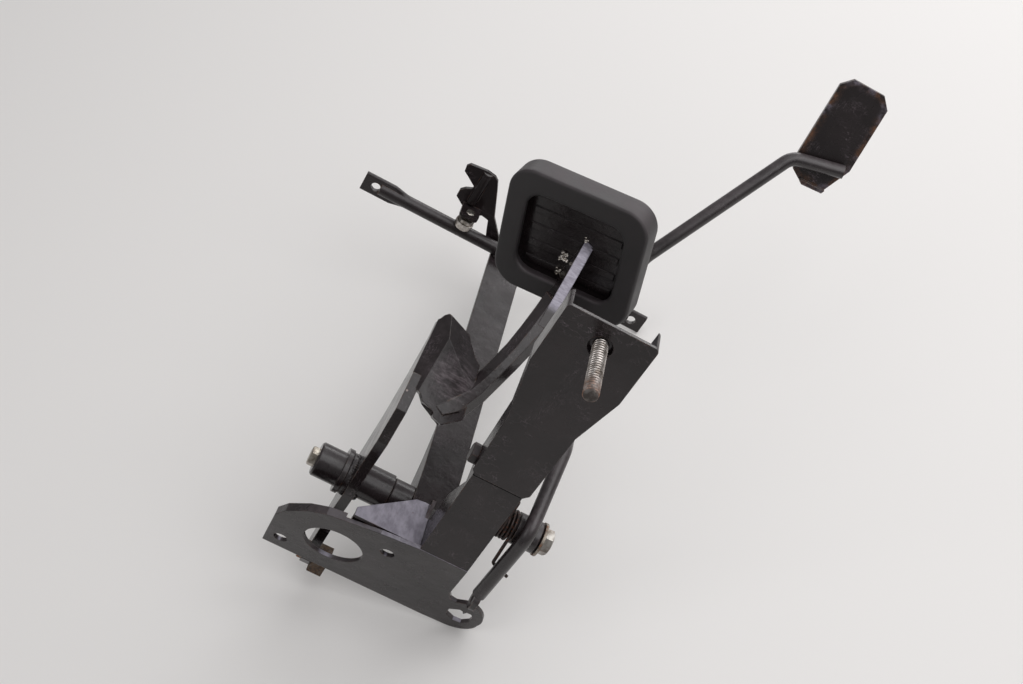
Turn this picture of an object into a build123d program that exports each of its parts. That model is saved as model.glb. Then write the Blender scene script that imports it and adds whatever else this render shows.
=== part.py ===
# Car pedal assembly: firewall bracket, brake pedal and accelerator pedal.
# Millimetres. +X is the right of the bracket, +Y is towards the driver and
# +Z runs along the bracket column to the pads.
import os
from math import cos, pi, radians, sin, sqrt, tan

from build123d import *

os.makedirs("parts", exist_ok=True)

# Driving dimensions: bracket
sheet = 2.0
plate_t = 2.5
column_w = 28.8
fold_z = -70.0
column_top = 12.0
joint_d = 6.0
joint_y = 7.3
joint_z = 4.2
plate_tilt = 18.0
plate_len = 75.0
plate_left = -90.4
mount_hole_x = -53.5
mount_hole_s = 42.0
mount_hole_d = 35.0
mount_pcd = 68.0
mount_bolt_d = 8.4
mount_angle = 38.0
lip_depth = 2.5

# Driving dimensions: upper channel and its stud
upper_z0 = -1.0
upper_z1 = 121.0
upper_half_top = 24.5
upper_depth = 13.0
stud_d = 8.0
stud_hole_d = 12.6
stud_z = 106.9
stud_len = 38.5

# Driving dimensions: rear stay and tube
stay_w = 23.5
stay_t = 2.5
stay_slope = 4.5
wall_x = -25.7
tube_d = 9.0
tube_y = 260.0
stay_end = tube_y + 11
tube_x0 = -127.0
tube_x1 = 84.0

# Driving dimensions: brake pedal
brake_y = 41.0
brake_z = -82.0
shaft_d = 12.0
hub_d = 21.0
arm_t = 6.0
arm_x = -62.0
pad_w = 84.5
pad_h = 78.0
pad_depth = 17.0
pad_rim = 12.5

# Driving dimensions: accelerator pedal
throttle_y = 13.0
throttle_z = -36.0
rod_d = 8.0
sleeve_d = 18.0
pivot_bolt_d = 8.0
spring_wire = 2.0
spring_turns = 3
coil_r = 8.2
leg_up = 26.0

# Fits
run_fit = 0.05
hole_fit = 0.2
side_gap = 0.35
lap_gap = 0.2

half_w = column_w / 2
upper_half_low = half_w + sheet + lap_gap
ct, st = cos(radians(plate_tilt)), sin(radians(plate_tilt))
plate_plane = Plane(origin=(0, 0, fold_z), x_dir=(1, 0, 0), z_dir=(0, -ct, -st))
side_plane = Plane(origin=(0, 0, 0), x_dir=(0, 1, 0), z_dir=(1, 0, 0))

# Pieces are drawn from the column joint, then moved so that the row's origin is the
# centre of the large firewall hole, on the front face of the plate
home = Vector(-mount_hole_x, -mount_hole_s * st, mount_hole_s * ct - fold_z)

# Firewall bracket: tilted plate, slotted ear and the lower channel
with BuildPart() as firewall_bracket:
    with BuildSketch(plate_plane):
        with BuildLine():
            Polyline((-half_w, 1), (-36.8, -2.5), (-54.5, -6.8), (-67.2, -10.1),
                     (-76.5, -16.1), (-86.6, -27.9), (plate_left, -38), (-88.5, -plate_len),
                     (14, -plate_len), (28, -74))
            ThreePointArc((28, -74), (39.5, -68.5), (43.6, -57))
            ThreePointArc((43.6, -57), (41.6, -43), (32.5, -34.9))
            Polyline((32.5, -34.9), (28, -36.8), (23.5, -40.5), (19.5, -39.5), (16.6, -33),
                     (half_w, 1), (-half_w, 1))
        make_face()
        with Locations((mount_hole_x, -mount_hole_s)):
            Circle(mount_hole_d / 2, mode=Mode.SUBTRACT)
            with PolarLocations(mount_pcd / 2, 2, start_angle=mount_angle):
                Circle(mount_bolt_d / 2, mode=Mode.SUBTRACT)
        with BuildLine():
            Polyline((23.5, -52), (28.5, -47), (30.5, -47.5), (31.8, -50.4), (33, -46.8),
                     (35.8, -46.6), (38, -50.5), (38, -57.5), (35, -63), (30, -63.5),
                     (24.5, -60), (23.5, -52))
        make_face(mode=Mode.SUBTRACT)
    extrude(amount=-plate_t)
    # turned-back lip along the top left edge
    with BuildSketch(plate_plane):
        with BuildLine():
            Polyline((-57, -7.4), (-67.2, -10.1), (-76.5, -16.1), (-86.6, -27.9),
                     (plate_left, -38), (-88.4, -38.8), (-84.8, -28.8), (-75.3, -17.9),
                     (-66.6, -12.2), (-57, -9.5), (-57, -7.4))
        make_face()
    extrude(amount=-plate_t - lip_depth)
    # column web and its two side flanges
    with BuildSketch(Plane.XZ):
        with Locations((0, (column_top + fold_z) / 2)):
            Rectangle(column_w, column_top - fold_z)
    extrude(amount=-sheet)
    with BuildSketch(side_plane.offset(-half_w)):
        with BuildLine():
            Polyline((0, column_top), (12.5, column_top), (13, -9), (4, -13), (9, -22),
                     (19, -40), (22.5, -62), (24, fold_z - 1), (9, fold_z - 2.8), (0, fold_z),
                     (0, column_top))
        make_face()
    extrude(amount=sheet)
    with BuildSketch(side_plane.offset(half_w - sheet)):
        with BuildLine():
            Polyline((0, column_top), (12.5, column_top), (14, -12), (24, -24),
                     (26, fold_z - 1), (9, fold_z - 2.8), (0, fold_z), (0, column_top))
        make_face()
        with Locations((throttle_y, throttle_z)):
            Circle(pivot_bolt_d / 2 + hole_fit, mode=Mode.SUBTRACT)
        with Locations((throttle_y - coil_r, throttle_z + leg_up)):
            Circle(spring_wire / 2 + side_gap, mode=Mode.SUBTRACT)
    extrude(amount=sheet)
    with BuildSketch(side_plane.offset(-half_w - 1)):
        with Locations((joint_y, joint_z)):
            Circle(joint_d / 2 + hole_fit)
    extrude(amount=10, mode=Mode.SUBTRACT)
firewall_bracket.part.label = "firewall_bracket"
firewall_bracket.part.position = home
export_step(firewall_bracket.part, "parts/firewall_bracket.step")

# Shelf gusset between the plate and the left flange
with BuildPart() as shelf_gusset:
    with BuildSketch(Plane.XY.offset(fold_z - 3)):
        with BuildLine():
            Polyline((-54, 3.8), (-54, 10), (-51, 12.5), (-24, 35), (-19, 35.8),
                     (-half_w - 0.1, 35.8), (-half_w - 0.1, 3.8), (-54, 3.8))
        make_face()
    extrude(amount=sheet)
    # turned-down front edge behind the plate
    with BuildSketch(Plane.XY.offset(fold_z - 3)):
        with BuildLine():
            Polyline((-54, 5.5), (-54, 7.5), (wall_x - 0.4, 7.5), (wall_x - 0.4, 5.5), (-54, 5.5))
        make_face()
    extrude(amount=-5)
    with BuildSketch(side_plane.offset(-half_w - 0.1)):
        with BuildLine():
            Polyline((25, fold_z - 3), (35.8, fold_z - 3), (35.8, fold_z + 3),
                     (33, fold_z + 6), (25, fold_z - 1), (25, fold_z - 3))
        make_face()
    extrude(amount=-sheet)
shelf_gusset.part.label = "shelf_gusset"
shelf_gusset.part.position = home
export_step(shelf_gusset.part, "parts/shelf_gusset.step")

# Upper channel: flared web, side flanges and a turned top lip
with BuildPart() as upper_channel:
    with BuildSketch(Plane.XZ.offset(sheet)):
        with BuildLine():
            Polyline((-upper_half_low + 2.5, upper_z0), (-upper_half_low, upper_z0 + 3),
                     (-upper_half_low, 12), (-upper_half_low - 0.8, 44), (-upper_half_top, 82),
                     (-upper_half_top, upper_z1), (upper_half_top, upper_z1),
                     (upper_half_top, 82), (upper_half_low + 0.8, 50),
                     (upper_half_low, upper_z0 + 3), (upper_half_low - 2.5, upper_z0),
                     (-upper_half_low + 2.5, upper_z0))
        make_face()
    extrude(amount=-upper_depth)
    fillet(upper_channel.edges().filter_by(Axis.Y).group_by(Axis.Z)[-1], 2.5)
    with BuildSketch(Plane.XZ):
        with BuildLine():
            Polyline((-upper_half_low + sheet, upper_z0 - 2), (-upper_half_low + sheet, 12),
                     (-upper_half_low - 0.8 + sheet, 44), (-upper_half_top + sheet, 82),
                     (-upper_half_top + sheet, upper_z1 + 2),
                     (upper_half_top - sheet, upper_z1 + 2), (upper_half_top - sheet, 82),
                     (upper_half_low + 0.8 - sheet, 50), (upper_half_low - sheet, 4),
                     (upper_half_low - sheet, upper_z0 - 2),
                     (-upper_half_low + sheet, upper_z0 - 2))
        make_face()
    extrude(amount=-upper_depth - 2, mode=Mode.SUBTRACT)
    with Locations((0, -sheet / 2, stud_z)):
        Cylinder(stud_hole_d / 2, 3 * sheet, rotation=(90, 0, 0), mode=Mode.SUBTRACT)
    with BuildSketch(side_plane.offset(-upper_half_low - 2)):
        with Locations((joint_y, joint_z)):
            Circle(joint_d / 2 + hole_fit)
    extrude(amount=10, mode=Mode.SUBTRACT)
upper_channel.part.label = "upper_channel"
upper_channel.part.position = home
export_step(upper_channel.part, "parts/upper_channel.step")

# Stud with a flat head behind the flared web
with BuildPart() as dash_stud:
    with BuildSketch(Plane.XZ.offset(-sheet)):
        with Locations((0, stud_z)):
            Circle(10)
    extrude(amount=sheet)
    with BuildSketch(Plane.XZ):
        with Locations((0, stud_z)):
            Circle(stud_d / 2)
    extrude(amount=stud_len)
    chamfer(dash_stud.edges().filter_by(GeomType.CIRCLE).group_by(Axis.Y)[0], 1.2)
dash_stud.part.label = "dash_stud"
dash_stud.part.position = home
export_step(dash_stud.part, "parts/dash_stud.step")

# Joint bolt and its captive nut
with BuildPart() as joint_bolt:
    with BuildSketch(side_plane.offset(-upper_half_low - 0.1)):
        with Locations((joint_y, joint_z)):
            RegularPolygon(10 / sqrt(3), 6, rotation=30)
    extrude(amount=-4)
    with BuildSketch(side_plane.offset(-upper_half_low - 0.1)):
        with Locations((joint_y, joint_z)):
            Circle(joint_d / 2)
    extrude(amount=12)
joint_bolt.part.label = "joint_bolt"
joint_bolt.part.position = home
export_step(joint_bolt.part, "parts/joint_bolt.step")

with BuildPart() as joint_nut:
    with BuildSketch(side_plane.offset(-half_w + sheet)):
        with Locations((joint_y, joint_z)):
            RegularPolygon(10 / sqrt(3), 6, rotation=30)
            Circle(joint_d / 2 + run_fit, mode=Mode.SUBTRACT)
    extrude(amount=5)
joint_nut.part.label = "joint_nut"
joint_nut.part.position = home
export_step(joint_nut.part, "parts/joint_nut.step")

# Rear stay: a flat strip that rises to the back, with a side wall at the brake pivot
stay_y0 = 36.0
stay_z0 = fold_z - 3.0
rise = tan(radians(stay_slope))
stay_plane = Plane(origin=(0, stay_y0, stay_z0), x_dir=(1, 0, 0),
                   z_dir=(0, -sin(radians(stay_slope)), cos(radians(stay_slope))))
stay_run = (stay_end - stay_y0) / cos(radians(stay_slope))
stay_skew = 4.5
with BuildPart() as rear_stay:
    with BuildSketch(stay_plane):
        with BuildLine():
            Polyline((wall_x, 0), (wall_x, 26), (wall_x - stay_skew, stay_run - 6),
                     (wall_x - stay_skew + 6, stay_run),
                     (wall_x - stay_skew + stay_w, stay_run), (wall_x + stay_w, 0), (wall_x, 0))
        make_face()
    extrude(amount=-stay_t)
    with BuildSketch(Plane.XY.offset(stay_z0)):
        with BuildLine():
            Polyline((wall_x, stay_y0 + 0.1), (wall_x, 5.5), (wall_x + stay_w, 5.5),
                     (wall_x + stay_w, stay_y0 + 0.1), (wall_x, stay_y0 + 0.1))
        make_face()
    extrude(amount=-stay_t)
    with BuildSketch(side_plane.offset(wall_x)):
        with BuildLine():
            Polyline((26, stay_z0 - 1), (stay_y0, stay_z0 - 1), (112, stay_z0 - 1 + 76 * rise),
                     (78, -83), (57, -98), (30, -98), (26, -92), (26, stay_z0 - 1))
        make_face()
        with Locations((brake_y, brake_z)):
            Circle(4 + hole_fit, mode=Mode.SUBTRACT)
    extrude(amount=stay_t)
rear_stay.part.label = "rear_stay"
rear_stay.part.position = home
export_step(rear_stay.part, "parts/rear_stay.step")

# Cross tube with flattened ends and a hole in each
tube_z = stay_z0 + (tube_y - stay_y0) * rise + tube_d / 2 + 0.1
with BuildPart() as cross_tube:
    with BuildSketch(side_plane.offset(tube_x0 + 33)):
        with Locations((tube_y, tube_z)):
            Circle(tube_d / 2)
    extrude(amount=tube_x1 - tube_x0 - 64)
    for x_flat, way in ((tube_x0 + 33, -1), (tube_x1 - 31, 1)):
        with BuildSketch(side_plane.offset(x_flat)) as round_end:
            with Locations((tube_y, tube_z)):
                Circle(tube_d / 2)
        with BuildSketch(side_plane.offset(x_flat + way * 12)) as flat_end:
            with Locations((tube_y, tube_z)):
                RectangleRounded(3.2, 14.6, 1.4)
        loft(sections=[round_end.sketch.face(), flat_end.sketch.face()])
        with BuildSketch(side_plane.offset(x_flat + way * 12)):
            with Locations((tube_y, tube_z)):
                RectangleRounded(3.2, 14.6, 1.4)
        extrude(amount=way * (21 if way < 0 else 19))
    for x_hole in (tube_x0 + 9, tube_x1 - 9):
        with Locations((x_hole, tube_y, tube_z)):
            Cylinder(3.3, 10, rotation=(90, 0, 0), mode=Mode.SUBTRACT)
    with BuildSketch(side_plane.offset(tube_x0 + 33)):
        with Locations((tube_y, tube_z)):
            Circle(tube_d / 2 - 1.2)
    extrude(amount=tube_x1 - tube_x0 - 64, mode=Mode.SUBTRACT)
cross_tube.part.label = "cross_tube"
cross_tube.part.position = home
export_step(cross_tube.part, "parts/cross_tube.step")

# Rear hook bracket: a stem, a folded bar and two prongs
hook_y = tube_y + tube_d / 2 + 0.7
screw_x, screw_y = -56.0, hook_y - 8.0
lug_z = -35.3
screw_end = tube_z + tube_d / 2 + side_gap
buffer_t = 5.2
with BuildPart() as rear_bracket:
    with BuildSketch(Plane.XZ.offset(-hook_y)):
        with BuildLine():
            Polyline((-25, -54.7), (-36, -54.7), (-39.8, -45), (-42.5, -37.3), (-47.6, -36.3),
                     (-50.7, -38.2), (-56.2, -39), (-61.4, -36.9), (-68.7, -31.6),
                     (-68.7, -26.3), (-66, -23.3), (-62, -21.3), (-62, -18.9),
                     (-68.4, -14.3), (-72.2, -11.8), (-72.8, -7.9), (-70.9, -5.3),
                     (-58.9, -3.9), (-52.9, -4.9), (-50, -7.3), (-47.4, -13.3),
                     (-39.4, -33.7), (-30, -46), (-25, -54.7))
        make_face()
    extrude(amount=-stay_t)
    with BuildSketch(Plane.XY.offset(lug_z)):
        with Locations((screw_x, hook_y - 6.5)):
            RectangleRounded(13, 14, 3)
        with Locations((screw_x, hook_y - 1)):
            Rectangle(13, 3)
        with Locations((screw_x, screw_y)):
            Circle(3 + hole_fit, mode=Mode.SUBTRACT)
    extrude(amount=stay_t)
    with Locations((-57.9, hook_y, -17.8)):
        Cylinder(3.2, 26)
    with BuildSketch(Plane.XY.offset(-54.7)):
        with Locations((-30.5, hook_y + 3)):
            Rectangle(9, 5.6)
    extrude(amount=1.6)
rear_bracket.part.label = "rear_bracket"
rear_bracket.part.position = home
export_step(rear_bracket.part, "parts/rear_bracket.step")

# Stop screw with a round buffer head, and its lock nut
with BuildPart() as stop_screw:
    with BuildSketch(Plane.XY.offset(screw_end + buffer_t)):
        with Locations((screw_x, screw_y)):
            Circle(3)
    extrude(amount=lug_z + stay_t + 0.5 - screw_end - buffer_t)
    with BuildSketch(Plane.XY.offset(screw_end)):
        with Locations((screw_x, screw_y)):
            Circle(6.2)
    extrude(amount=buffer_t)
    chamfer(stop_screw.edges().filter_by(GeomType.CIRCLE).group_by(Axis.Z)[0], 1.6)
stop_screw.part.label = "stop_screw"
stop_screw.part.position = home
export_step(stop_screw.part, "parts/stop_screw.step")

with BuildPart() as stop_nut:
    with BuildSketch(Plane.XY.offset(screw_end + buffer_t)):
        with Locations((screw_x, screw_y)):
            RegularPolygon(10 / sqrt(3), 6)
            Circle(3 + run_fit, mode=Mode.SUBTRACT)
    extrude(amount=3.2)
stop_nut.part.label = "stop_nut"
stop_nut.part.position = home
export_step(stop_nut.part, "parts/stop_nut.step")

# Brake pivot: stepped shaft, spacer, end collar and its bolt
spacer_x0 = -38.3
hub_x1 = spacer_x0 - side_gap
collar_x1 = -65.5
hub_x0 = collar_x1 + side_gap
collar_x0 = -83.6
with BuildPart() as pivot_shaft:
    with BuildSketch(side_plane.offset(collar_x0 + 2)):
        with Locations((brake_y, brake_z)):
            Circle(shaft_d / 2)
    extrude(amount=wall_x - collar_x0 - 2)
    with BuildSketch(side_plane.offset(wall_x)):
        with Locations((brake_y, brake_z)):
            Circle(4)
    extrude(amount=11)
    with BuildSketch(side_plane.offset(collar_x0 + 2)):
        with Locations((brake_y, brake_z)):
            Circle(3 + run_fit)
    extrude(amount=14, mode=Mode.SUBTRACT)
pivot_shaft.part.label = "pivot_shaft"
pivot_shaft.part.position = home
export_step(pivot_shaft.part, "parts/pivot_shaft.step")

with BuildPart() as shaft_nut:
    with BuildSketch(side_plane.offset(wall_x + stay_t)):
        with Locations((brake_y, brake_z)):
            RegularPolygon(13 / sqrt(3), 6)
            Circle(4 + run_fit, mode=Mode.SUBTRACT)
    extrude(amount=6.5)
shaft_nut.part.label = "shaft_nut"
shaft_nut.part.position = home
export_step(shaft_nut.part, "parts/shaft_nut.step")

with BuildPart() as pivot_spacer:
    with BuildSketch(side_plane.offset(spacer_x0)):
        with Locations((brake_y, brake_z)):
            Circle(9.5)
            Circle(shaft_d / 2 + run_fit, mode=Mode.SUBTRACT)
    extrude(amount=wall_x - spacer_x0)
    chamfer(pivot_spacer.edges().filter_by(GeomType.CIRCLE).group_by(SortBy.LENGTH)[-1], 0.6)
pivot_spacer.part.label = "pivot_spacer"
pivot_spacer.part.position = home
export_step(pivot_spacer.part, "parts/pivot_spacer.step")

with BuildPart() as end_collar:
    with BuildSketch(side_plane.offset(collar_x0)):
        with Locations((brake_y, brake_z)):
            Circle(10)
    extrude(amount=collar_x1 - collar_x0 - 3)
    with BuildSketch(side_plane.offset(collar_x1 - 3)):
        with Locations((brake_y, brake_z)):
            Circle(13.2)
    extrude(amount=3)
    chamfer(end_collar.edges().filter_by(GeomType.CIRCLE).group_by(Axis.X)[0], 1)
    with BuildSketch(side_plane.offset(collar_x0 + 2)):
        with Locations((brake_y, brake_z)):
            Circle(shaft_d / 2 + run_fit)
    extrude(amount=20, mode=Mode.SUBTRACT)
    with BuildSketch(side_plane.offset(collar_x0 - 1)):
        with Locations((brake_y, brake_z)):
            Circle(3 + hole_fit)
    extrude(amount=5, mode=Mode.SUBTRACT)
end_collar.part.label = "end_collar"
end_collar.part.position = home
export_step(end_collar.part, "parts/end_collar.step")

with BuildPart() as collar_bolt:
    with BuildSketch(side_plane.offset(collar_x0)):
        with Locations((brake_y, brake_z)):
            RegularPolygon(10 / sqrt(3), 6)
    extrude(amount=-4)
    with BuildSketch(side_plane.offset(collar_x0)):
        with Locations((brake_y, brake_z)):
            Circle(3)
    extrude(amount=12)
collar_bolt.part.label = "collar_bolt"
collar_bolt.part.position = home
export_step(collar_bolt.part, "parts/collar_bolt.step")

# Brake hub tube with a boss, and two pressed bushes
bush_d = 15.0
with BuildPart() as brake_hub:
    with BuildSketch(side_plane.offset(hub_x0)):
        with Locations((brake_y, brake_z)):
            Circle(12.2)
    extrude(amount=arm_x - hub_x0)
    with BuildSketch(side_plane.offset(arm_x)):
        with Locations((brake_y, brake_z)):
            Circle(hub_d / 2)
    extrude(amount=hub_x1 - arm_x)
    with BuildSketch(side_plane.offset(hub_x0)):
        with Locations((brake_y, brake_z)):
            Circle(bush_d / 2)
    extrude(amount=hub_x1 - hub_x0, mode=Mode.SUBTRACT)
brake_hub.part.label = "brake_hub"
brake_hub.part.position = home
export_step(brake_hub.part, "parts/brake_hub.step")

with BuildPart() as hub_bushes:
    for x_bush in (hub_x0, hub_x1 - 11):
        with BuildSketch(side_plane.offset(x_bush)):
            with Locations((brake_y, brake_z)):
                Circle(bush_d / 2)
                Circle(shaft_d / 2 + run_fit, mode=Mode.SUBTRACT)
        extrude(amount=11)
hub_bushes.part.label = "hub_bushes"
hub_bushes.part.position = home
export_step(hub_bushes.part, "parts/hub_bushes.step")

# Brake arm: lower lever, joggled middle plate and the blade at the pad
arm_slope = 39.8
ca, sa = cos(radians(arm_slope)), sin(radians(arm_slope))
middle_plane = Plane(origin=(0, 45.0, 0), x_dir=(1, 0, 0), z_dir=(0, -sa, ca))
blade_lean = 4.6
blade_plane = Plane(origin=(-12, 88, 36),
                    x_dir=(sin(radians(blade_lean)), ca * cos(radians(blade_lean)),
                           sa * cos(radians(blade_lean))),
                    z_dir=(cos(radians(blade_lean)), -ca * sin(radians(blade_lean)),
                           -sa * sin(radians(blade_lean))))
pad_u = Vector(-0.2926, -0.0097, 0.9563)
pad_n = Vector(0.2908, 0.9514, 0.0989)
pad_recess = 9.0
pad_centre = Vector(-14.2, 123.1, 64.6)
pad_plane = Plane(origin=tuple(pad_centre), x_dir=tuple(pad_u.cross(pad_n)), z_dir=tuple(pad_n))
open_w, open_h = pad_w - 2 * pad_rim, pad_h - 2 * pad_rim - 1.5

# Folded hump: three flat facets that meet at one peak, shared by the lever and the bar
peak_x, peak_run, peak_rise = -52.7, 26.7, 2.5
hump_peak = middle_plane.from_local_coords(Vector(peak_x, peak_run, peak_rise))
hump_facets = []
for slope_x, slope_run in ((0.55, 0), (-0.087, 0.052), (-0.4, -0.3)):
    hump_facets.append(Plane(origin=tuple(hump_peak), x_dir=(1, -sa * slope_x, ca * slope_x),
                             z_dir=(-slope_x, -slope_run * ca - sa, -slope_run * sa + ca)))
with BuildPart() as hump:
    with BuildSketch(middle_plane.offset(-20)):
        with BuildLine():
            Polyline((arm_x, -4), (arm_x, 33), (-59.9, 37.5), (-57.9, 39.2), (-42.6, 34.4),
                     (-40.5, 31.2), (-35.3, 25.4), (-30.3, 22.2), (-29, 6), (-26.8, -9.2),
                     (-36.5, -16.7), (-42.1, -15), (-43.6, -12.2), (-50.7, -10.2),
                     (-53.9, -6.7), (arm_x, -4))
        make_face()
    extrude(amount=30)
    for facet in hump_facets:
        with BuildSketch(facet):
            Rectangle(160, 160)
        extrude(amount=30, mode=Mode.SUBTRACT)
    hump_inside = hump.part.moved(Location((0, sa * arm_t, -ca * arm_t)))
    add(hump_inside, mode=Mode.SUBTRACT)

with BuildPart() as brake_arm:
    # lever plate through the hub
    with BuildSketch(side_plane.offset(arm_x)):
        with BuildLine():
            Polyline((27, -84), (28, -60), (25, -35), (30, -12.5), (74.5, 24.6), (69, 8),
                     (62, -16), (57, -45), (57, -78), (55, -96), (50, -118), (46, -152),
                     (42, -158), (35, -158), (32, -152), (33, -118), (29, -96), (27, -84))
        make_face()
        with Locations((brake_y, brake_z)):
            Circle(hub_d / 2, mode=Mode.SUBTRACT)
    extrude(amount=arm_t)
    # upper end sloped to the side where it meets the folded hump
    with BuildSketch(hump_facets[0]):
        with Locations((0, 2 - peak_run)):
            Rectangle(60, 60, align=(Align.CENTER, Align.MIN))
    extrude(amount=20, mode=Mode.SUBTRACT)
    add(hump.part)
    # bar that runs from the hump to the blade
    with BuildSketch(middle_plane):
        with BuildLine():
            Polyline((-30.1, 6.5), (-26, 15), (-21.5, 27), (-17.5, 39), (-14.5, 51.5),
                     (-11.7, 65), (-10.5, 72), (-5.5, 72), (-7, 58), (-12, 42), (-16, 30),
                     (-24, 8), (-31, -6), (-38, -11.5), (-43, -9), (-30.1, 6.5))
        make_face()
    extrude(amount=-arm_t, taper=-38)
    # blade that stands on edge behind the pad and leans towards its right end
    with BuildSketch(blade_plane):
        with BuildLine():
            Polyline((0, 0), (32.2, 1.2), (47.5, 0.8), (55.5, 0.6), (51.4, -9), (37.7, -30.1),
                     (23.8, -27.7), (-0.5, -25.6), (-17.9, -21.5), (0, 0))
        make_face()
    extrude(amount=arm_t)
    with BuildSketch(side_plane.offset(arm_x)):
        with Locations((38.5, -151)):
            Circle(4 + hole_fit)
    extrude(amount=arm_t, mode=Mode.SUBTRACT)
    # blade end trimmed to the pad plate and to the mouth of the rubber pad
    with BuildSketch(pad_plane.offset(pad_recess)):
        Rectangle(120, 120)
    extrude(amount=30, mode=Mode.SUBTRACT)
    with BuildSketch(pad_plane.offset(-0.6)):
        Rectangle(120, 120)
        RectangleRounded(open_w - 1.2, open_h - 1.2, 9, mode=Mode.SUBTRACT)
    extrude(amount=pad_recess + 0.6, mode=Mode.SUBTRACT)

# Clevis block on the end of the lower lever, and its pin
clevis_w = 9.0
with BuildPart() as push_block:
    with BuildSketch(side_plane.offset(arm_x + arm_t + side_gap)):
        with Locations((38.5, -153.5)):
            RectangleRounded(12, 16.5, 2)
        with Locations((38.5, -151)):
            Circle(4 + run_fit, mode=Mode.SUBTRACT)
    extrude(amount=clevis_w)
push_block.part.label = "push_block"
push_block.part.position = home
export_step(push_block.part, "parts/push_block.step")

with BuildPart() as lever_pin:
    with BuildSketch(side_plane.offset(arm_x - 3)):
        with Locations((38.5, -151)):
            Circle(6)
    extrude(amount=3)
    with BuildSketch(side_plane.offset(arm_x)):
        with Locations((38.5, -151)):
            Circle(4)
    extrude(amount=arm_t + side_gap + clevis_w + 2)
lever_pin.part.label = "lever_pin"
lever_pin.part.position = home
export_step(lever_pin.part, "parts/lever_pin.step")

# Ribbed steel pad plate
with BuildPart() as pad_plate:
    with BuildSketch(pad_plane.offset(pad_recess)):
        RectangleRounded(pad_w - 14, pad_h - 14, 12)
    extrude(amount=3)
    with BuildSketch(pad_plane.offset(pad_recess)):
        with Locations(*[(0, v) for v in (-22, -11, 0, 11, 22)]):
            Rectangle(54, 4)
    extrude(amount=-0.8)
    add(brake_arm.part, mode=Mode.SUBTRACT)
brake_arm.part.label = "brake_arm"
brake_arm.part.position = home
export_step(brake_arm.part, "parts/brake_arm.step")
pad_plate.part.label = "pad_plate"
pad_plate.part.position = home
export_step(pad_plate.part, "parts/pad_plate.step")

# Rubber pad that wraps the plate
with BuildPart() as brake_pad:
    with BuildSketch(pad_plane):
        RectangleRounded(pad_w, pad_h, 15)
    extrude(amount=pad_depth)
    chamfer(brake_pad.faces().sort_by(SortBy.AREA)[-2:].edges(), 1.6)
    with BuildSketch(pad_plane):
        RectangleRounded(open_w, open_h, 10)
    extrude(amount=pad_recess, mode=Mode.SUBTRACT)
    with BuildSketch(pad_plane.offset(pad_recess - 5)):
        RectangleRounded(open_w + 7, open_h + 6, 12)
    extrude(amount=5, mode=Mode.SUBTRACT)
    with BuildSketch(pad_plane.offset(pad_recess)):
        RectangleRounded(pad_w - 14, pad_h - 14, 12)
    extrude(amount=3, mode=Mode.SUBTRACT)
    with BuildSketch(pad_plane.offset(pad_depth)):
        with Locations(*[(0, v) for v in (-26, -13, 0, 13, 26)]):
            SlotOverall(66, 4)
    extrude(amount=-2, mode=Mode.SUBTRACT)
brake_pad.part.label = "brake_pad"
brake_pad.part.position = home
export_step(brake_pad.part, "parts/brake_pad.step")

# Accelerator sleeve with a spring neck, bush, pivot bolt, washer and nut
neck_x0, sleeve_x0, sleeve_x1 = half_w + side_gap, 24.2, 38.5
with BuildPart() as throttle_sleeve:
    with BuildSketch(side_plane.offset(neck_x0)):
        with Locations((throttle_y, throttle_z)):
            Circle(6.6)
    extrude(amount=sleeve_x0 - neck_x0)
    with BuildSketch(side_plane.offset(sleeve_x0)):
        with Locations((throttle_y, throttle_z)):
            Circle(sleeve_d / 2)
    extrude(amount=sleeve_x1 - sleeve_x0)
    chamfer(throttle_sleeve.edges().filter_by(GeomType.CIRCLE).group_by(Axis.X)[-1], 0.8)
    with BuildSketch(side_plane.offset(neck_x0)):
        with Locations((throttle_y, throttle_z)):
            Circle(5.2)
    extrude(amount=sleeve_x1 - neck_x0, mode=Mode.SUBTRACT)
throttle_sleeve.part.label = "throttle_sleeve"
throttle_sleeve.part.position = home
export_step(throttle_sleeve.part, "parts/throttle_sleeve.step")

with BuildPart() as throttle_bush:
    with BuildSketch(side_plane.offset(neck_x0)):
        with Locations((throttle_y, throttle_z)):
            Circle(5.2)
            Circle(pivot_bolt_d / 2 + run_fit, mode=Mode.SUBTRACT)
    extrude(amount=sleeve_x1 - neck_x0)
throttle_bush.part.label = "throttle_bush"
throttle_bush.part.position = home
export_step(throttle_bush.part, "parts/throttle_bush.step")

washer_x0 = sleeve_x1 + side_gap
with BuildPart() as throttle_washer:
    with BuildSketch(side_plane.offset(washer_x0)):
        with Locations((throttle_y, throttle_z)):
            Circle(9.6)
            Circle(pivot_bolt_d / 2 + run_fit, mode=Mode.SUBTRACT)
    extrude(amount=1.6)
throttle_washer.part.label = "throttle_washer"
throttle_washer.part.position = home
export_step(throttle_washer.part, "parts/throttle_washer.step")

with BuildPart() as throttle_bolt:
    with BuildSketch(side_plane.offset(washer_x0 + 1.6)):
        with Locations((throttle_y, throttle_z)):
            RegularPolygon(13 / sqrt(3), 6)
    extrude(amount=5.3)
    with BuildSketch(side_plane.offset(washer_x0 + 1.6)):
        with Locations((throttle_y, throttle_z)):
            Circle(pivot_bolt_d / 2)
    extrude(amount=-36)
throttle_bolt.part.label = "throttle_bolt"
throttle_bolt.part.position = home
export_step(throttle_bolt.part, "parts/throttle_bolt.step")

with BuildPart() as throttle_nut:
    with BuildSketch(side_plane.offset(half_w - sheet)):
        with Locations((throttle_y, throttle_z)):
            RegularPolygon(13 / sqrt(3), 6)
            Circle(pivot_bolt_d / 2 + run_fit, mode=Mode.SUBTRACT)
    extrude(amount=-6.5)
throttle_nut.part.label = "throttle_nut"
throttle_nut.part.position = home
export_step(throttle_nut.part, "parts/throttle_nut.step")

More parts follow.
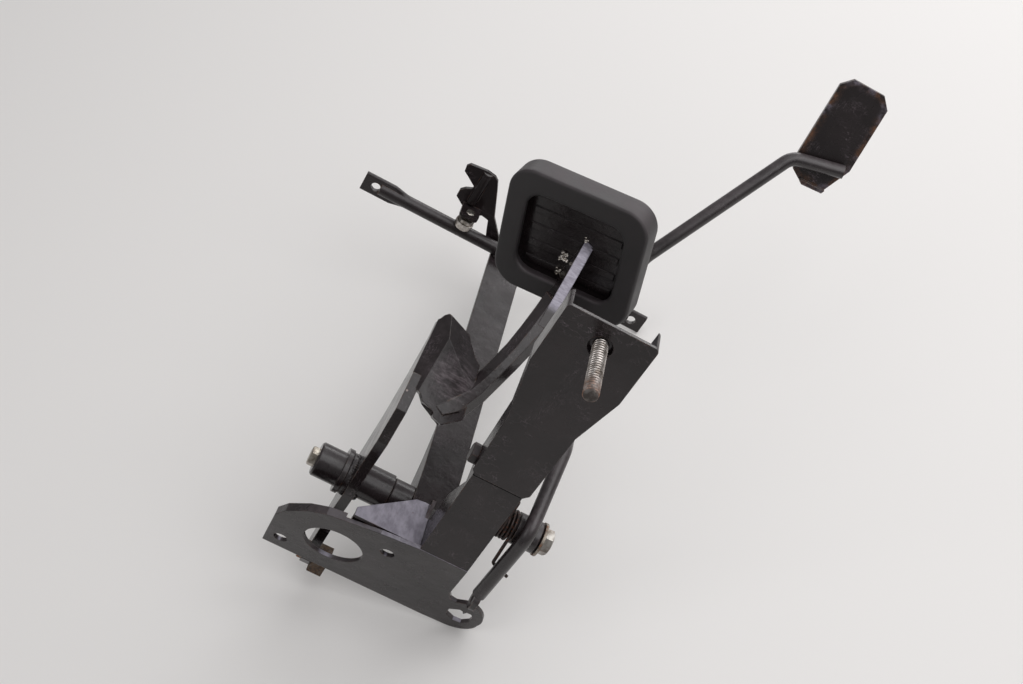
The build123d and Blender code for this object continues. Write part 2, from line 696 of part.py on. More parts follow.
# Accelerator rod: lower lever, pivot crossing, rise to the plate and a bent end
rod_r = rod_d / 2
eye_z = -86.0
with BuildPart() as throttle_rod:
    with BuildLine() as rod_path:
        FilletPolyline((27.4, 0, eye_z + 5), (29.3, 0, -25), (30, 44, 2),
                       (33, 163, -8), (33, 161, 59.5), (80, 203.5, 139), (110, 204.6, 146),
                       radius=11)
    with BuildSketch(Plane(origin=rod_path.line @ 0, z_dir=rod_path.line % 0)):
        Circle(rod_r)
    sweep()
    with BuildSketch(side_plane.offset(25.6)):
        with Locations((0, eye_z)):
            RectangleRounded(11, 13, 5)
            Circle(2.6, mode=Mode.SUBTRACT)
    extrude(amount=3.6)
throttle_rod.part.label = "throttle_rod"
throttle_rod.part.position = home
export_step(throttle_rod.part, "parts/throttle_rod.step")

# Accelerator plate with cut corners and a folded lower lip
tread_n = Vector(0, -0.976, 0.217).normalized()
foot = Vector(97, 204.2, 142.5) - tread_n * rod_r
tread_plane = Plane(origin=tuple(foot), x_dir=(1, 0.0065, 0.0294), z_dir=tuple(tread_n))
with BuildPart() as throttle_plate:
    with BuildSketch(tread_plane):
        with BuildLine():
            Polyline((-14.5, -3), (-14.5, 45.5), (-8.5, 51.5), (11, 51), (17, 44.5),
                     (17.5, 4), (9.5, -14.5), (-3.5, -15), (-12, -9.5), (-14.5, -3))
        make_face()
    extrude(amount=-2.5)
    with BuildSketch(tread_plane):
        with BuildLine():
            Polyline((9.5, -14.5), (-3.5, -15), (-5.5, -13.7), (-5, -12.4), (10.4, -12.3),
                     (9.5, -14.5))
        make_face()
    extrude(amount=2.2)
throttle_plate.part.label = "throttle_plate"
throttle_plate.part.position = home
export_step(throttle_plate.part, "parts/throttle_plate.step")

# Return spring: close turns round the sleeve neck, one leg hooked in the flange and
# the other behind the lower lever
coil_x0 = neck_x0 + spring_wire / 2 + 0.9
coil_pitch = spring_wire + 0.1
coil_len = spring_turns * coil_pitch
slope = coil_pitch / (2 * pi * coil_r)
coil_plane = Plane(origin=(coil_x0, throttle_y, throttle_z), x_dir=(0, -1, 0),
                   z_dir=(1, 0, 0))
with BuildPart() as bent_wire:
    with BuildLine() as spring_path:
        FilletPolyline((coil_r, -leg_up, -7), (coil_r, -leg_up, -leg_up * slope),
                       (coil_r, 0, 0), radius=1.9)
        Helix(pitch=coil_pitch, height=coil_len, radius=coil_r)
        FilletPolyline((coil_r, 0, coil_len), (coil_r, 4, coil_len + 4 * slope),
                       (7.85, 23.5, 7.6), (7.85, 28.5, 18.8), radius=2.4)
    with BuildSketch(Plane(origin=spring_path.line @ 0, z_dir=spring_path.line % 0)):
        RegularPolygon(spring_wire / 2, 6)
    sweep(is_frenet=True)
with BuildPart() as return_spring:
    with Locations(coil_plane):
        add(bent_wire.part)
return_spring.part.label = "return_spring"
return_spring.part.position = home
export_step(return_spring.part, "parts/return_spring.step")
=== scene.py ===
from math import acos, cos, pi, radians, sin, sqrt, tan

import bmesh
import bpy
from bpy.props import FloatProperty, FloatVectorProperty, IntProperty, PointerProperty
from mathutils import Matrix, Vector


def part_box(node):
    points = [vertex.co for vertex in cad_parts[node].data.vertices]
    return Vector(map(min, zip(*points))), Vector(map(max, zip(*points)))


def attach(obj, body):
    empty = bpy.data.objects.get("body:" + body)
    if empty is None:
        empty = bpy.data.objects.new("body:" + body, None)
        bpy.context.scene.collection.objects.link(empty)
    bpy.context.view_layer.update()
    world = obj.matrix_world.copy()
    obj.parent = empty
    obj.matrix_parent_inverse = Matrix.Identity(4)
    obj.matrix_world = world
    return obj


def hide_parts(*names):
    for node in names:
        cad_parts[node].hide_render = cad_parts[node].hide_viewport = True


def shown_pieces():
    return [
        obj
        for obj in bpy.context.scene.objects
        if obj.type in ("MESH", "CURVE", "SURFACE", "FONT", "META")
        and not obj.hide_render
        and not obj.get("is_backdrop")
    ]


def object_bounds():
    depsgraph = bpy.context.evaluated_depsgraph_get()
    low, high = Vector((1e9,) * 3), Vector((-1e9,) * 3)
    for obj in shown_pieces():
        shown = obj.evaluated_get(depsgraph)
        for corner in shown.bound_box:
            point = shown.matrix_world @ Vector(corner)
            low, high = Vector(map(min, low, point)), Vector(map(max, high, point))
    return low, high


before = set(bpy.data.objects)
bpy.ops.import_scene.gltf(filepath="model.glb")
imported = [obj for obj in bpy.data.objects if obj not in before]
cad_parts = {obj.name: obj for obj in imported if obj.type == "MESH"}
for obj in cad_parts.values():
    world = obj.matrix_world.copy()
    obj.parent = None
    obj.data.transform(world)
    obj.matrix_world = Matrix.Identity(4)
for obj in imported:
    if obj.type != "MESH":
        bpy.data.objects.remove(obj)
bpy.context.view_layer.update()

bl_info = {
    "name": "Car Pedal Assembly",
    "version": (1, 0, 0),
    "blender": (4, 5, 0),
    "location": "View3D > Sidebar > Pedals",
    "description": "Finishes, fasteners, springs and rubber of a car pedal assembly",
    "category": "Object",
}

MM = 0.001

# Places in the row frame, in millimetres. The origin is the centre of the large firewall
# hole, +Y is towards the driver and +Z runs along the column to the pads
BRAKE_AXIS = Vector((0.0, 28.021, 27.944))
PAD_CENTRE = Vector((39.3, 110.121, 174.544))
PAD_UP = Vector((-0.2926, -0.0097, 0.9563))
PAD_NORMAL = Vector((0.2908, 0.9514, 0.0989))
PAD_SIDE = PAD_UP.cross(PAD_NORMAL).normalized()
REST_UP = Vector((-0.4096, -0.2161, 0.8866))

# The brake arm's upper run: its direction, its front normal, and where the blade starts
# along that direction, in metres from the origin
ARM_RISE = Vector((0.0, 0.7683, 0.6401))
ARM_FRONT = Vector((0.0, -0.6401, 0.7683))
BLADE_FROM = 0.1592

# The middle of the arm's hump, scuffed and with a painted highlight, and how far the pale
# streaks reach, in metres
HUMP = (0.0125, 0.0375, 0.1150)
HUMP_SCUFF_HIGHLIGHT = 0.017

# The rubber pad's outside, its corner radius, its open window and the depth of the plate's
# seat behind the back face, in metres
PAD_SIZE = (0.0845, 0.078, 0.017)
PAD_CORNER = 0.015
PAD_WINDOW = (0.0595, 0.0515)
PAD_SEAT_DEPTH = 0.009

# The pad's cross grooves: from the middle to their ends, and from one to the next
GROOVE_REACH = 0.033
GROOVE_SPACING = 0.012831

# The stud's thread and head, and how far a threaded rod runs into its head, in metres
STUD_DIAMETER = 0.008
STUD_HEAD = 0.002
ROD_OVERLAP = 0.0005

# The height of the painted shadow under the joint of the two channels, in metres
JOINT_SHADOW_HEIGHT = 0.0028

# The floor, from its middle to its sides and below the part's lowest point, in metres
FLOOR_REACH = 6.0
FLOOR_GAP = 0.0002

VECTOR_OPERATIONS = ("DOT_PRODUCT", "CROSS_PRODUCT", "DISTANCE", "LENGTH")

# The camera of the photograph: its place in metres, its axes, and its lens for a 36 mm sensor
CAMERA_PLACE = Vector((-0.0946, -0.57228, 0.62314))
CAMERA_RIGHT = Vector((0.879, 0.166, 0.446))
CAMERA_UP = Vector((-0.450, 0.598, 0.663))
CAMERA_LENS = 36 * 1500 / 1023


def length(name, description, default, low, high):
    """A setting in metres."""
    return FloatProperty(name=name, description=description, default=default, min=low,
                         max=high, unit="LENGTH")


def tint(name, description, default):
    """A setting that is a colour."""
    return FloatVectorProperty(name=name, description=description, default=default, size=3,
                               min=0, max=1, subtype="COLOR")


class PaintSettings(bpy.types.PropertyGroup):
    black: tint("Black", "Colour of the sprayed chassis black", (0.0110, 0.0078, 0.0082))
    # the dust colour is also a painted sheen of the light on faces that look up
    dust: tint("Dust", "Colour of the road dust on faces that look up", (0.150, 0.124, 0.134))
    rust: tint("Rust", "Colour of the rust at worn edges", (0.112, 0.045, 0.022))
    edge_radius: length("Edge radius", "Rounding that pressing and paint give a sheet edge",
                        0.0007, 0, 0.005)


class ThreadSettings(bpy.types.PropertyGroup):
    # a stud of 8 mm has 1.25 mm from turn to turn, which is drawn as coarse and deep as the
    # photograph shows it
    stud_pitch: length("Stud pitch", "Thread spacing of the dash stud", 0.00175, 0.0005, 0.003)
    stud_depth: length("Stud depth", "Depth of the stud's thread", 0.0009, 0.0001, 0.002)
    head_chamfer: length("Head chamfer", "Width of the chamfer on a hexagon's corners",
                         0.0007, 0, 0.002)


class SpringSettings(bpy.types.PropertyGroup):
    wire: length("Wire", "Diameter of the return spring's wire", 0.002, 0.001, 0.004)
    turns: IntProperty(
        name="Turns", description="Turns round the sleeve's neck", default=3, min=1, max=6)
    coil_radius: length("Coil radius", "Radius of the coil at the middle of the wire",
                        0.0082, 0.005, 0.02)
    sides: IntProperty(
        name="Sides", description="Faces round the wire", default=16, min=6, max=32)


class PadSettings(bpy.types.PropertyGroup):
    rubber: tint("Rubber", "Colour of the moulded rubber", (0.0122, 0.0105, 0.0110))
    edge: length("Edge", "Radius of the pad's moulded edges", 0.0032, 0.0005, 0.006)
    back_edge: length("Back edge", "Radius of the edges round the pad's open side",
                      0.0018, 0.0005, 0.006)
    groove_depth: length("Groove depth", "Depth of the tread's cross grooves", 0.002, 0, 0.003)
    groove_width: length("Groove width", "Width of the tread's cross grooves",
                         0.004, 0.001, 0.008)


class WeldSettings(bpy.types.PropertyGroup):
    bead: length("Bead", "Width of a weld bead", 0.0034, 0.001, 0.01)
    step: length("Step", "Spacing of the ripples along a bead", 0.0012, 0.0005, 0.005)
    seed: IntProperty(
        name="Seed", description="Which of the random bead shapes is used", default=7, min=0)


class StudioSettings(bpy.types.PropertyGroup):
    floor: tint("Floor", "Colour of the plain floor", (0.80, 0.78, 0.77))
    key: FloatProperty(
        name="Key light", description="Strength of the large soft light", default=6.5,
        min=0, max=100, subtype="POWER")


def srgb(text):
    """A colour written as sRGB hex, turned to the linear values that a shader reads."""
    parts = [int(text[at:at + 2], 16) / 255 for at in (1, 3, 5)]
    return tuple(c / 12.92 if c < 0.04045 else ((c + 0.055) / 1.055) ** 2.4
                 for c in parts) + (1.0,)


def feed(tree, node, inputs):
    """Give a node's inputs a value or a link."""
    for key, value in inputs.items():
        if isinstance(value, bpy.types.NodeSocket):
            tree.links.new(value, node.inputs[key])
        else:
            node.inputs[key].default_value = value


def add_node(tree, kind, inputs=None, **settings):
    """Add one node with its settings and its inputs."""
    made = tree.nodes.new(kind)
    for name, value in settings.items():
        setattr(made, name, value)
    feed(tree, made, inputs or {})
    return made


def formula(tree, operation, *terms):
    """Arithmetic on values and sockets. A term that is a tuple and starts with the name of
    an operation is a formula of its own."""
    kind = "ShaderNodeVectorMath" if operation in VECTOR_OPERATIONS else "ShaderNodeMath"
    inputs = {at: formula(tree, *term) if isinstance(term, tuple)
              and isinstance(term[0], str) else term for at, term in enumerate(terms)}
    outputs = add_node(tree, kind, inputs, operation=operation).outputs
    return outputs["Vector" if operation == "CROSS_PRODUCT" else "Value"]


def product(tree, *shares):
    """Several shares multiplied, two at a time."""
    result = shares[0]
    for share in shares[1:]:
        result = formula(tree, "MULTIPLY", result, share)
    return result


def new_material(name):
    """A material with its shader, and with the two nodes that its patterns read: where a
    point is on its piece, and how its face lies."""
    material = bpy.data.materials.new(name)
    material.use_nodes = True
    tree = material.node_tree
    tree.nodes.clear()
    shader = add_node(tree, "ShaderNodeBsdfPrincipled")
    add_node(tree, "ShaderNodeOutputMaterial", {"Surface": shader.outputs[0]}, name="output")
    add_node(tree, "ShaderNodeTexCoord", name="place")
    add_node(tree, "ShaderNodeNewGeometry", name="face")
    return material, tree, shader


def pattern_space(tree, seed, stretch=(1, 1, 1)):
    """Object coordinates moved by a seed, so that two pieces never share their marks."""
    return add_node(tree, "ShaderNodeMapping", {
        "Vector": tree.nodes["place"].outputs["Object"],
        "Location": (0.113 * seed, 0.071 * seed, 0.037 * seed),
        "Scale": stretch,
    }).outputs[0]


def grain(tree, space, size, detail, roughness=0.55):
    """Noise whose blotches measure size metres."""
    return add_node(tree, "ShaderNodeTexNoise", {
        "Vector": space, "Scale": 1 / size, "Detail": detail, "Roughness": roughness,
    }).outputs["Fac"]


def band(tree, value, low, high, to_low=0.0, to_high=1.0):
    """A soft step of value between low and high."""
    return add_node(tree, "ShaderNodeMapRange", {
        "Value": value, "From Min": low, "From Max": high, "To Min": to_low,
        "To Max": to_high,
    }, interpolation_type="SMOOTHSTEP").outputs[0]


def blend(tree, share, base, over):
    """One colour laid over another by a share. A colour may be given as sRGB hex."""
    base, over = (srgb(tone) if isinstance(tone, str) else tone for tone in (base, over))
    mix = add_node(tree, "ShaderNodeMix", {0: share, 6: base, 7: over}, data_type="RGBA")
    return mix.outputs[2]


def facing(tree, way):
    """How far a face looks a given way."""
    return formula(tree, "DOT_PRODUCT", tree.nodes["face"].outputs["Normal"], way)


def edge_share(tree, radius):
    """How near a point is to a sharp edge, from the turn of its rounded normal."""
    rounded = add_node(tree, "ShaderNodeBevel", {"Radius": radius}, samples=6).outputs[0]
    return band(tree, facing(tree, rounded), 0.995, 0.86)


def facing_up(tree, low, high):
    """Where a face looks up from the floor that the assembly lies on."""
    return band(tree, facing(tree, (-0.25, -0.13, 0.96)), low, high)


def finished(tree, shader, inputs, heights, radius):
    """Set a shader's inputs, and stack bumps on its normal, each a height and its depth in
    metres, on edges rounded by radius."""
    normal = add_node(tree, "ShaderNodeBevel", {"Radius": radius}, samples=6).outputs[0]
    for height, depth in heights:
        normal = add_node(tree, "ShaderNodeBump", {
            "Height": height, "Distance": depth, "Strength": 1.0, "Normal": normal,
        }).outputs[0]
    feed(tree, shader, {**inputs, "Normal": normal})


def scratch_marks(tree, seed):
    """Fine handling scratches in two directions, drawn about 0.2 mm wide so that they show,
    in a few areas."""
    marks = []
    for turn, stretch in enumerate(((1, 14, 2.2), (11, 1.3, 1))):
        lines = grain(tree, pattern_space(tree, seed + 3 * turn + 1, stretch), 0.006, 2, 0.5)
        ridge = formula(tree, "ABSOLUTE", ("SUBTRACT", lines, 0.5))
        areas = grain(tree, pattern_space(tree, seed + 9 + turn), 0.018, 2)
        marks.append((band(tree, ridge, 0.012, 0.0), band(tree, areas, 0.52, 0.66)))
    return marks


def chip_marks(tree, seed, small):
    """Ragged spots of about 4 mm where the paint has come off, in a few areas."""
    cells = add_node(tree, "ShaderNodeTexVoronoi", {
        "Vector": pattern_space(tree, seed + 21), "Scale": 1 / 0.011, "Randomness": 1.0})
    ragged = formula(tree, "ADD", cells.outputs["Distance"], ("MULTIPLY", small, 0.24))
    few = grain(tree, pattern_space(tree, seed + 27), 0.035, 1)
    return product(tree, band(tree, ragged, 0.19, 0.165), band(tree, few, 0.5, 0.56))


def bare_share(tree, way, along, first, last):
    """Where a face looks a given way, between two ends along a direction."""
    run = formula(tree, "DOT_PRODUCT", tree.nodes["place"].outputs["Object"], along)
    return product(tree, band(tree, run, first, first + 0.006),
                   band(tree, run, last + 0.004, last),
                   band(tree, facing(tree, way), 0.91, 0.96))


def chassis_black(name, seed, gloss, dust, wear, scratches, chips=0.0, bright=None,
                  joint_shadow=None, haze=0.0, mirror=0.42, scuff_highlight=None):
    """Black enamel sprayed over pressed steel. It gives a soft window-like sheen broken by
    orange peel, road dust with a painted sheen of the light on what faces up, and edges rubbed
    back to brown steel. Bright is a face painted pale, given as its normal and a direction with
    its two ends along it; on the blade's edge this is steel rubbed bare, and on faces that look
    straight up it is a painted reflection of the lamps. Joint shadow is a band of height painted
    near black and without shine, a painted shadow below a joint. Haze is how much the paint
    within a few millimetres of the edges is scuffed and browned.
    Mirror is how strongly the paint mirrors the lamps and the floor. Scuff highlight is a place
    and a radius round which shoes have scuffed the paint pale, and which also carries a painted
    highlight of the lit facet there."""
    paint = bpy.context.scene.pedal_paint
    material, tree, shader = new_material(name)
    here = tree.nodes["place"].outputs["Object"]
    space = pattern_space(tree, seed)
    large = grain(tree, space, 0.030, 4)
    small = grain(tree, space, 0.004, 5, 0.65)
    black = (*paint.black, 1)
    soft_black = (*(1.5 * c + 0.001 for c in paint.black), 1)
    colour = blend(tree, band(tree, large, 0.35, 0.7), black, soft_black)
    # road dust and a painted sheen of the light from above, thicker where a face looks up and in
    # blotches
    patches = band(tree, formula(tree, "ADD", large, small), 0.75, 1.25, 0.35, 1.0)
    dust_and_sheen = product(tree, facing_up(tree, 0.25, 1.0), patches, dust)
    colour = blend(tree, dust_and_sheen, colour, (*paint.dust, 1))
    marks = [product(tree, thin, area, scratches) for thin, area in scratch_marks(tree, seed)]
    colour = blend(tree, formula(tree, "ADD", *marks), colour, "#6f646a")
    if haze:
        scuffed = product(tree, edge_share(tree, 0.007), band(
            tree, grain(tree, space, 0.007, 6, 0.7), 0.38, 0.68), haze)
        scuff = blend(tree, band(tree, large, 0.46, 0.54), "#6b4a35", "#7c7480")
        colour = blend(tree, scuffed, colour, scuff)
    # pale streaks round a place: scuffs, and a painted highlight of the facet there that catches
    # the light
    if scuff_highlight:
        place, radius = scuff_highlight
        away = formula(tree, "DISTANCE", here, place)
        streaks = grain(tree, pattern_space(tree, seed + 41, (1, 5, 1.5)), 0.008, 5, 0.7)
        pale = product(tree, band(tree, away, radius, radius * 0.3),
                       band(tree, streaks, 0.38, 0.74), 0.6)
        colour = blend(tree, pale, colour, "#82777c")
    # edges rubbed through to primer and brown steel
    rubbed = product(tree, edge_share(tree, paint.edge_radius * 1.6),
                     band(tree, grain(tree, space, 0.009, 5, 0.7), 0.44, 0.62), wear)
    steel = blend(tree, band(tree, small, 0.4, 0.6), (*paint.rust, 1), "#77706c")
    colour = blend(tree, rubbed, colour, steel)
    if chips:
        chip = product(tree, chip_marks(tree, seed, small), chips)
        colour = blend(tree, chip, colour, "#a89a96")
        rubbed = formula(tree, "ADD", rubbed, chip)
    metal, shine = 0.0, mirror
    if bright:
        # pale streaks with a few brown spots left: steel rubbed bare across the blade's edge,
        # and a painted reflection of the lamps on faces that look straight up
        bare = bare_share(tree, *bright)
        pale_streaks = grain(tree, pattern_space(tree, seed + 31, (1, 0.4, 6)), 0.004, 4, 0.6)
        tone = blend(tree, band(tree, pale_streaks, 0.3, 0.7), "#7a7682", "#9c98a4")
        tone = blend(tree, band(tree, small, 0.68, 0.74), tone, "#5d3b2a")
        colour = blend(tree, product(tree, bare, 0.85), colour, tone)
        metal = product(tree, bare, 0.3)
    if joint_shadow:
        low, high = joint_shadow
        # a painted shadow: a band just below the joint, painted near black and with its shine
        # taken away
        height = add_node(tree, "ShaderNodeSeparateXYZ", {0: here}).outputs[2]
        under = product(tree, band(tree, height, low, low + 0.0008),
                        band(tree, height, high + 0.0004, high))
        colour = blend(tree, under, colour, (0.0006, 0.0005, 0.0005, 1))
        shine = band(tree, under, 0, 1, mirror, 0.02)
    sheen = band(tree, grain(tree, space, 0.012, 4, 0.6), 0.3, 0.75, gloss, gloss + 0.10)
    sheen = formula(tree, "ADD", ("ADD", sheen, ("MULTIPLY", dust_and_sheen, 0.55)),
                    ("MULTIPLY", rubbed, 0.35))
    # orange peel, drawn at 1.4 mm, and the step down into rubbed edges
    peel = grain(tree, space, 0.0014, 2, 0.5)
    finished(tree, shader, {"Base Color": colour, "Metallic": metal, "Roughness": sheen,
                            "IOR": 1.5, "Specular IOR Level": shine},
             ((peel, 0.00004), (large, 0.0006), (rubbed, -0.00008)), paint.edge_radius)
    return material


def zinc(name, seed, rust, tone="#a39c92", roughness=0.42, browns=("#3a2118", "#8a5a3e"),
         thread=None):
    """Zinc plate on steel that has dulled and rusted. The plate is a grey metal with soft
    blurred highlights, and the rust is brown and rough. On a thread, given as its start,
    axis, crest radius, depth and length, dirt fills the roots and the far end is brown."""
    material, tree, shader = new_material(name)
    space = pattern_space(tree, seed)
    fine = grain(tree, space, 0.0016, 5, 0.65)
    blotch = grain(tree, space, 0.006, 4, 0.6)
    rusted = band(tree, formula(tree, "ADD", fine, blotch), 1.25 - rust, 1.52 - rust)
    brown = blend(tree, band(tree, fine, 0.35, 0.65), *browns)
    plate = blend(tree, band(tree, blotch, 0.3, 0.7), tone, "#6d655d")
    if thread:
        start, axis, crest, depth, length = thread
        offset = add_node(tree, "ShaderNodeMapping", {
            "Vector": tree.nodes["place"].outputs["Object"], "Location": -start}).outputs[0]
        away = formula(tree, "LENGTH", ("CROSS_PRODUCT", offset, axis))
        along = formula(tree, "DOT_PRODUCT", offset, axis)
        roots = band(tree, away, crest - 0.2 * depth, crest - 0.75 * depth)
        far = product(tree, band(tree, along, 0.62 * length, 0.97 * length, 0.0, 0.85),
                      band(tree, blotch, 0.2, 0.6, 0.6, 1.0))
        rusted = formula(tree, "MAXIMUM", ("MAXIMUM", rusted, far), ("MULTIPLY", roots, 0.8))
        brown = blend(tree, roots, brown, "#1d1310")
    finished(tree, shader, {
        "Base Color": blend(tree, rusted, plate, brown),
        "Metallic": band(tree, rusted, 0, 1, 0.95, 0.1),
        "Roughness": band(tree, rusted, 0, 1, roughness, 0.85),
    }, ((fine, 0.00008), (rusted, 0.00004)), 0.0002)
    return material


def spring_steel(name, seed):
    """Drawn spring wire, oiled black and browned by age. It has a tight bright line along
    each turn and fine rust freckles."""
    material, tree, shader = new_material(name)
    fine = grain(tree, pattern_space(tree, seed), 0.0012, 4, 0.6)
    freckles = band(tree, fine, 0.56, 0.68)
    finished(tree, shader, {
        "Base Color": blend(tree, freckles, "#3b3331", "#6a3d28"),
        "Metallic": band(tree, freckles, 0, 1, 0.8, 0.1),
        "Roughness": band(tree, freckles, 0, 1, 0.36, 0.8),
    }, ((fine, 0.00005),), 0.0001)
    return material


def moulded_rubber(name, seed):
    """Compression-moulded rubber, worn by shoes. It is a matt black with a grey bloom,
    a fine grain from the mould and lighter scuffs along its edges."""
    material, tree, shader = new_material(name)
    space = pattern_space(tree, seed)
    large = grain(tree, space, 0.022, 4)
    fine = grain(tree, space, 0.0009, 3, 0.6)
    rubber = (*bpy.context.scene.pedal_pad.rubber, 1)
    bloom = product(tree, facing_up(tree, -0.2, 1.0), band(
        tree, large, 0.32, 0.72, 0.3, 1.0), 0.30)
    colour = blend(tree, bloom, rubber, "#6b5f64")
    scuff = product(tree, edge_share(tree, 0.0016), band(
        tree, grain(tree, space, 0.006, 4, 0.7), 0.45, 0.65), 0.35)
    finished(tree, shader, {
        "Base Color": blend(tree, scuff, colour, "#585053"),
        "Roughness": band(tree, large, 0.25, 0.75, 0.46, 0.62), "IOR": 1.52,
    }, ((fine, 0.00003), (large, 0.0004)), 0.0004)
    return material


def moulded_nylon(name, seed):
    """Natural nylon bush, greased. Off-white, slightly waxy, with dirty patches."""
    material, tree, shader = new_material(name)
    dirt = band(tree, grain(tree, pattern_space(tree, seed), 0.004, 4), 0.4, 0.7)
    feed(tree, shader, {
        "Base Color": blend(tree, dirt, "#b7ab95", "#5a4a3a"),
        "Roughness": band(tree, dirt, 0, 1, 0.35, 0.6), "IOR": 1.53})
    return material


def make_object(name, data):
    made = bpy.data.objects.new(name, data)
    bpy.context.scene.collection.objects.link(made)
    return made


def finish_piece(mesh, body, slot, material, *replaced):
    """Show a finished mesh with its material, tie it to its body, and hide the CAD nodes that it
    replaces.
    """
    mesh.materials.clear()
    mesh.materials.append(material)
    piece = make_object(mesh.name, mesh)
    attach(piece, body)
    if replaced:
        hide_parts(*replaced)


def dress(material, *names):
    """Give CAD nodes a finish through their own material slots."""
    for name in names:
        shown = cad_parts[name]
        if not shown.material_slots:
            shown.data.materials.append(material)
        for place in shown.material_slots:
            place.material = material


def ring_loop(bm, matrix, radii, heights):
    """One closed loop of points round the local Z axis, at one height or at a height for
    each point."""
    count = len(radii)
    if isinstance(heights, (int, float)):
        heights = [heights] * count
    return [bm.verts.new(matrix @ Vector((radius * cos(2 * pi * at / count),
                                          radius * sin(2 * pi * at / count), height)))
            for at, (radius, height) in enumerate(zip(radii, heights))]


def bridge(bm, lower, upper):
    count = len(lower)
    for at in range(count):
        after = (at + 1) % count
        bm.faces.new((lower[at], lower[after], upper[after], upper[at]))


def skin(bm, loops, closed=True):
    """Join a row of loops, lowest first, and close its ends."""
    for lower, upper in zip(loops, loops[1:]):
        bridge(bm, lower, upper)
    if closed:
        bm.faces.new(loops[0][::-1])
        bm.faces.new(loops[-1])


def hexagon(bm, matrix, across, high, chamfer, bore, turn):
    """A hexagon whose corners are turned off by a cone, at one end as on a bolt head, or at
    both ends and with a bore as on a nut."""
    segments = 72
    wide = [across / 2 / cos((2 * pi * at / segments - turn) % (pi / 3) - pi / 6)
            for at in range(segments)]
    # the cone starts a little inside the flats and falls at 30 degrees
    flat = across / 2 - 0.03 * across
    dips = [max(0.0, radius - flat) * tan(radians(30)) for radius in wide]
    bottom = ring_loop(bm, matrix, [flat] * segments, 0.0) if bore else None
    loops = [bottom] if bore else []
    loops.append(ring_loop(bm, matrix, wide, dips if bore else 0.0))
    loops.append(ring_loop(bm, matrix, wide, [high - dip - 0.0001 for dip in dips]))
    loops.append(ring_loop(bm, matrix, [flat] * segments, high))
    if bore:
        lead = chamfer * 0.6
        for radius, height in ((bore / 2 + lead, high), (bore / 2, high - lead),
                               (bore / 2, lead), (bore / 2 + lead, 0.0)):
            loops.append(ring_loop(bm, matrix, [radius] * segments, height))
        skin(bm, loops, False)
        bridge(bm, loops[-1], bottom)
    else:
        skin(bm, loops)


def axis_matrix(origin, axis):
    """A frame whose Z axis runs along the given one."""
    return Matrix.Translation(origin) @ Vector(axis).to_track_quat("Z", "Y").to_matrix().to_4x4()


def axes_matrix(origin, *axes):
    """A frame with the given X, Y and Z axes."""
    return Matrix.Translation(origin) @ Matrix(axes).transposed().to_4x4()


def new_tree(name, inputs):
    """An empty Geometry Nodes tree with named inputs, ending in one mesh."""
    tree = bpy.data.node_groups.new(name, "GeometryNodeTree")
    tree.interface.new_socket("Geometry", in_out="OUTPUT", socket_type="NodeSocketGeometry")
    tree.interface.new_socket("Geometry", in_out="INPUT", socket_type="NodeSocketGeometry")
    for label, kind, default in inputs:
        socket = tree.interface.new_socket(label, in_out="INPUT",
                                           socket_type="NodeSocket" + kind)
        if default is not None:
            socket.default_value = default
    return tree, add_node(tree, "NodeGroupInput").outputs


def end_tree(tree, geometry, material):
    """Realize Instances, shade smooth and Set Material, at the end of a tree. Realize
    Instances and Set Material, because the export keeps neither instances nor a material
    that is set later.
    """
    solid = add_node(tree, "GeometryNodeRealizeInstances", {"Geometry": geometry})
    smooth = add_node(tree, "GeometryNodeSetShadeSmooth", {"Geometry": solid.outputs[0]})
    finish = add_node(tree, "GeometryNodeSetMaterial",
                      {"Geometry": smooth.outputs[0], "Material": material})
    add_node(tree, "NodeGroupOutput", {"Geometry": finish.outputs[0]})


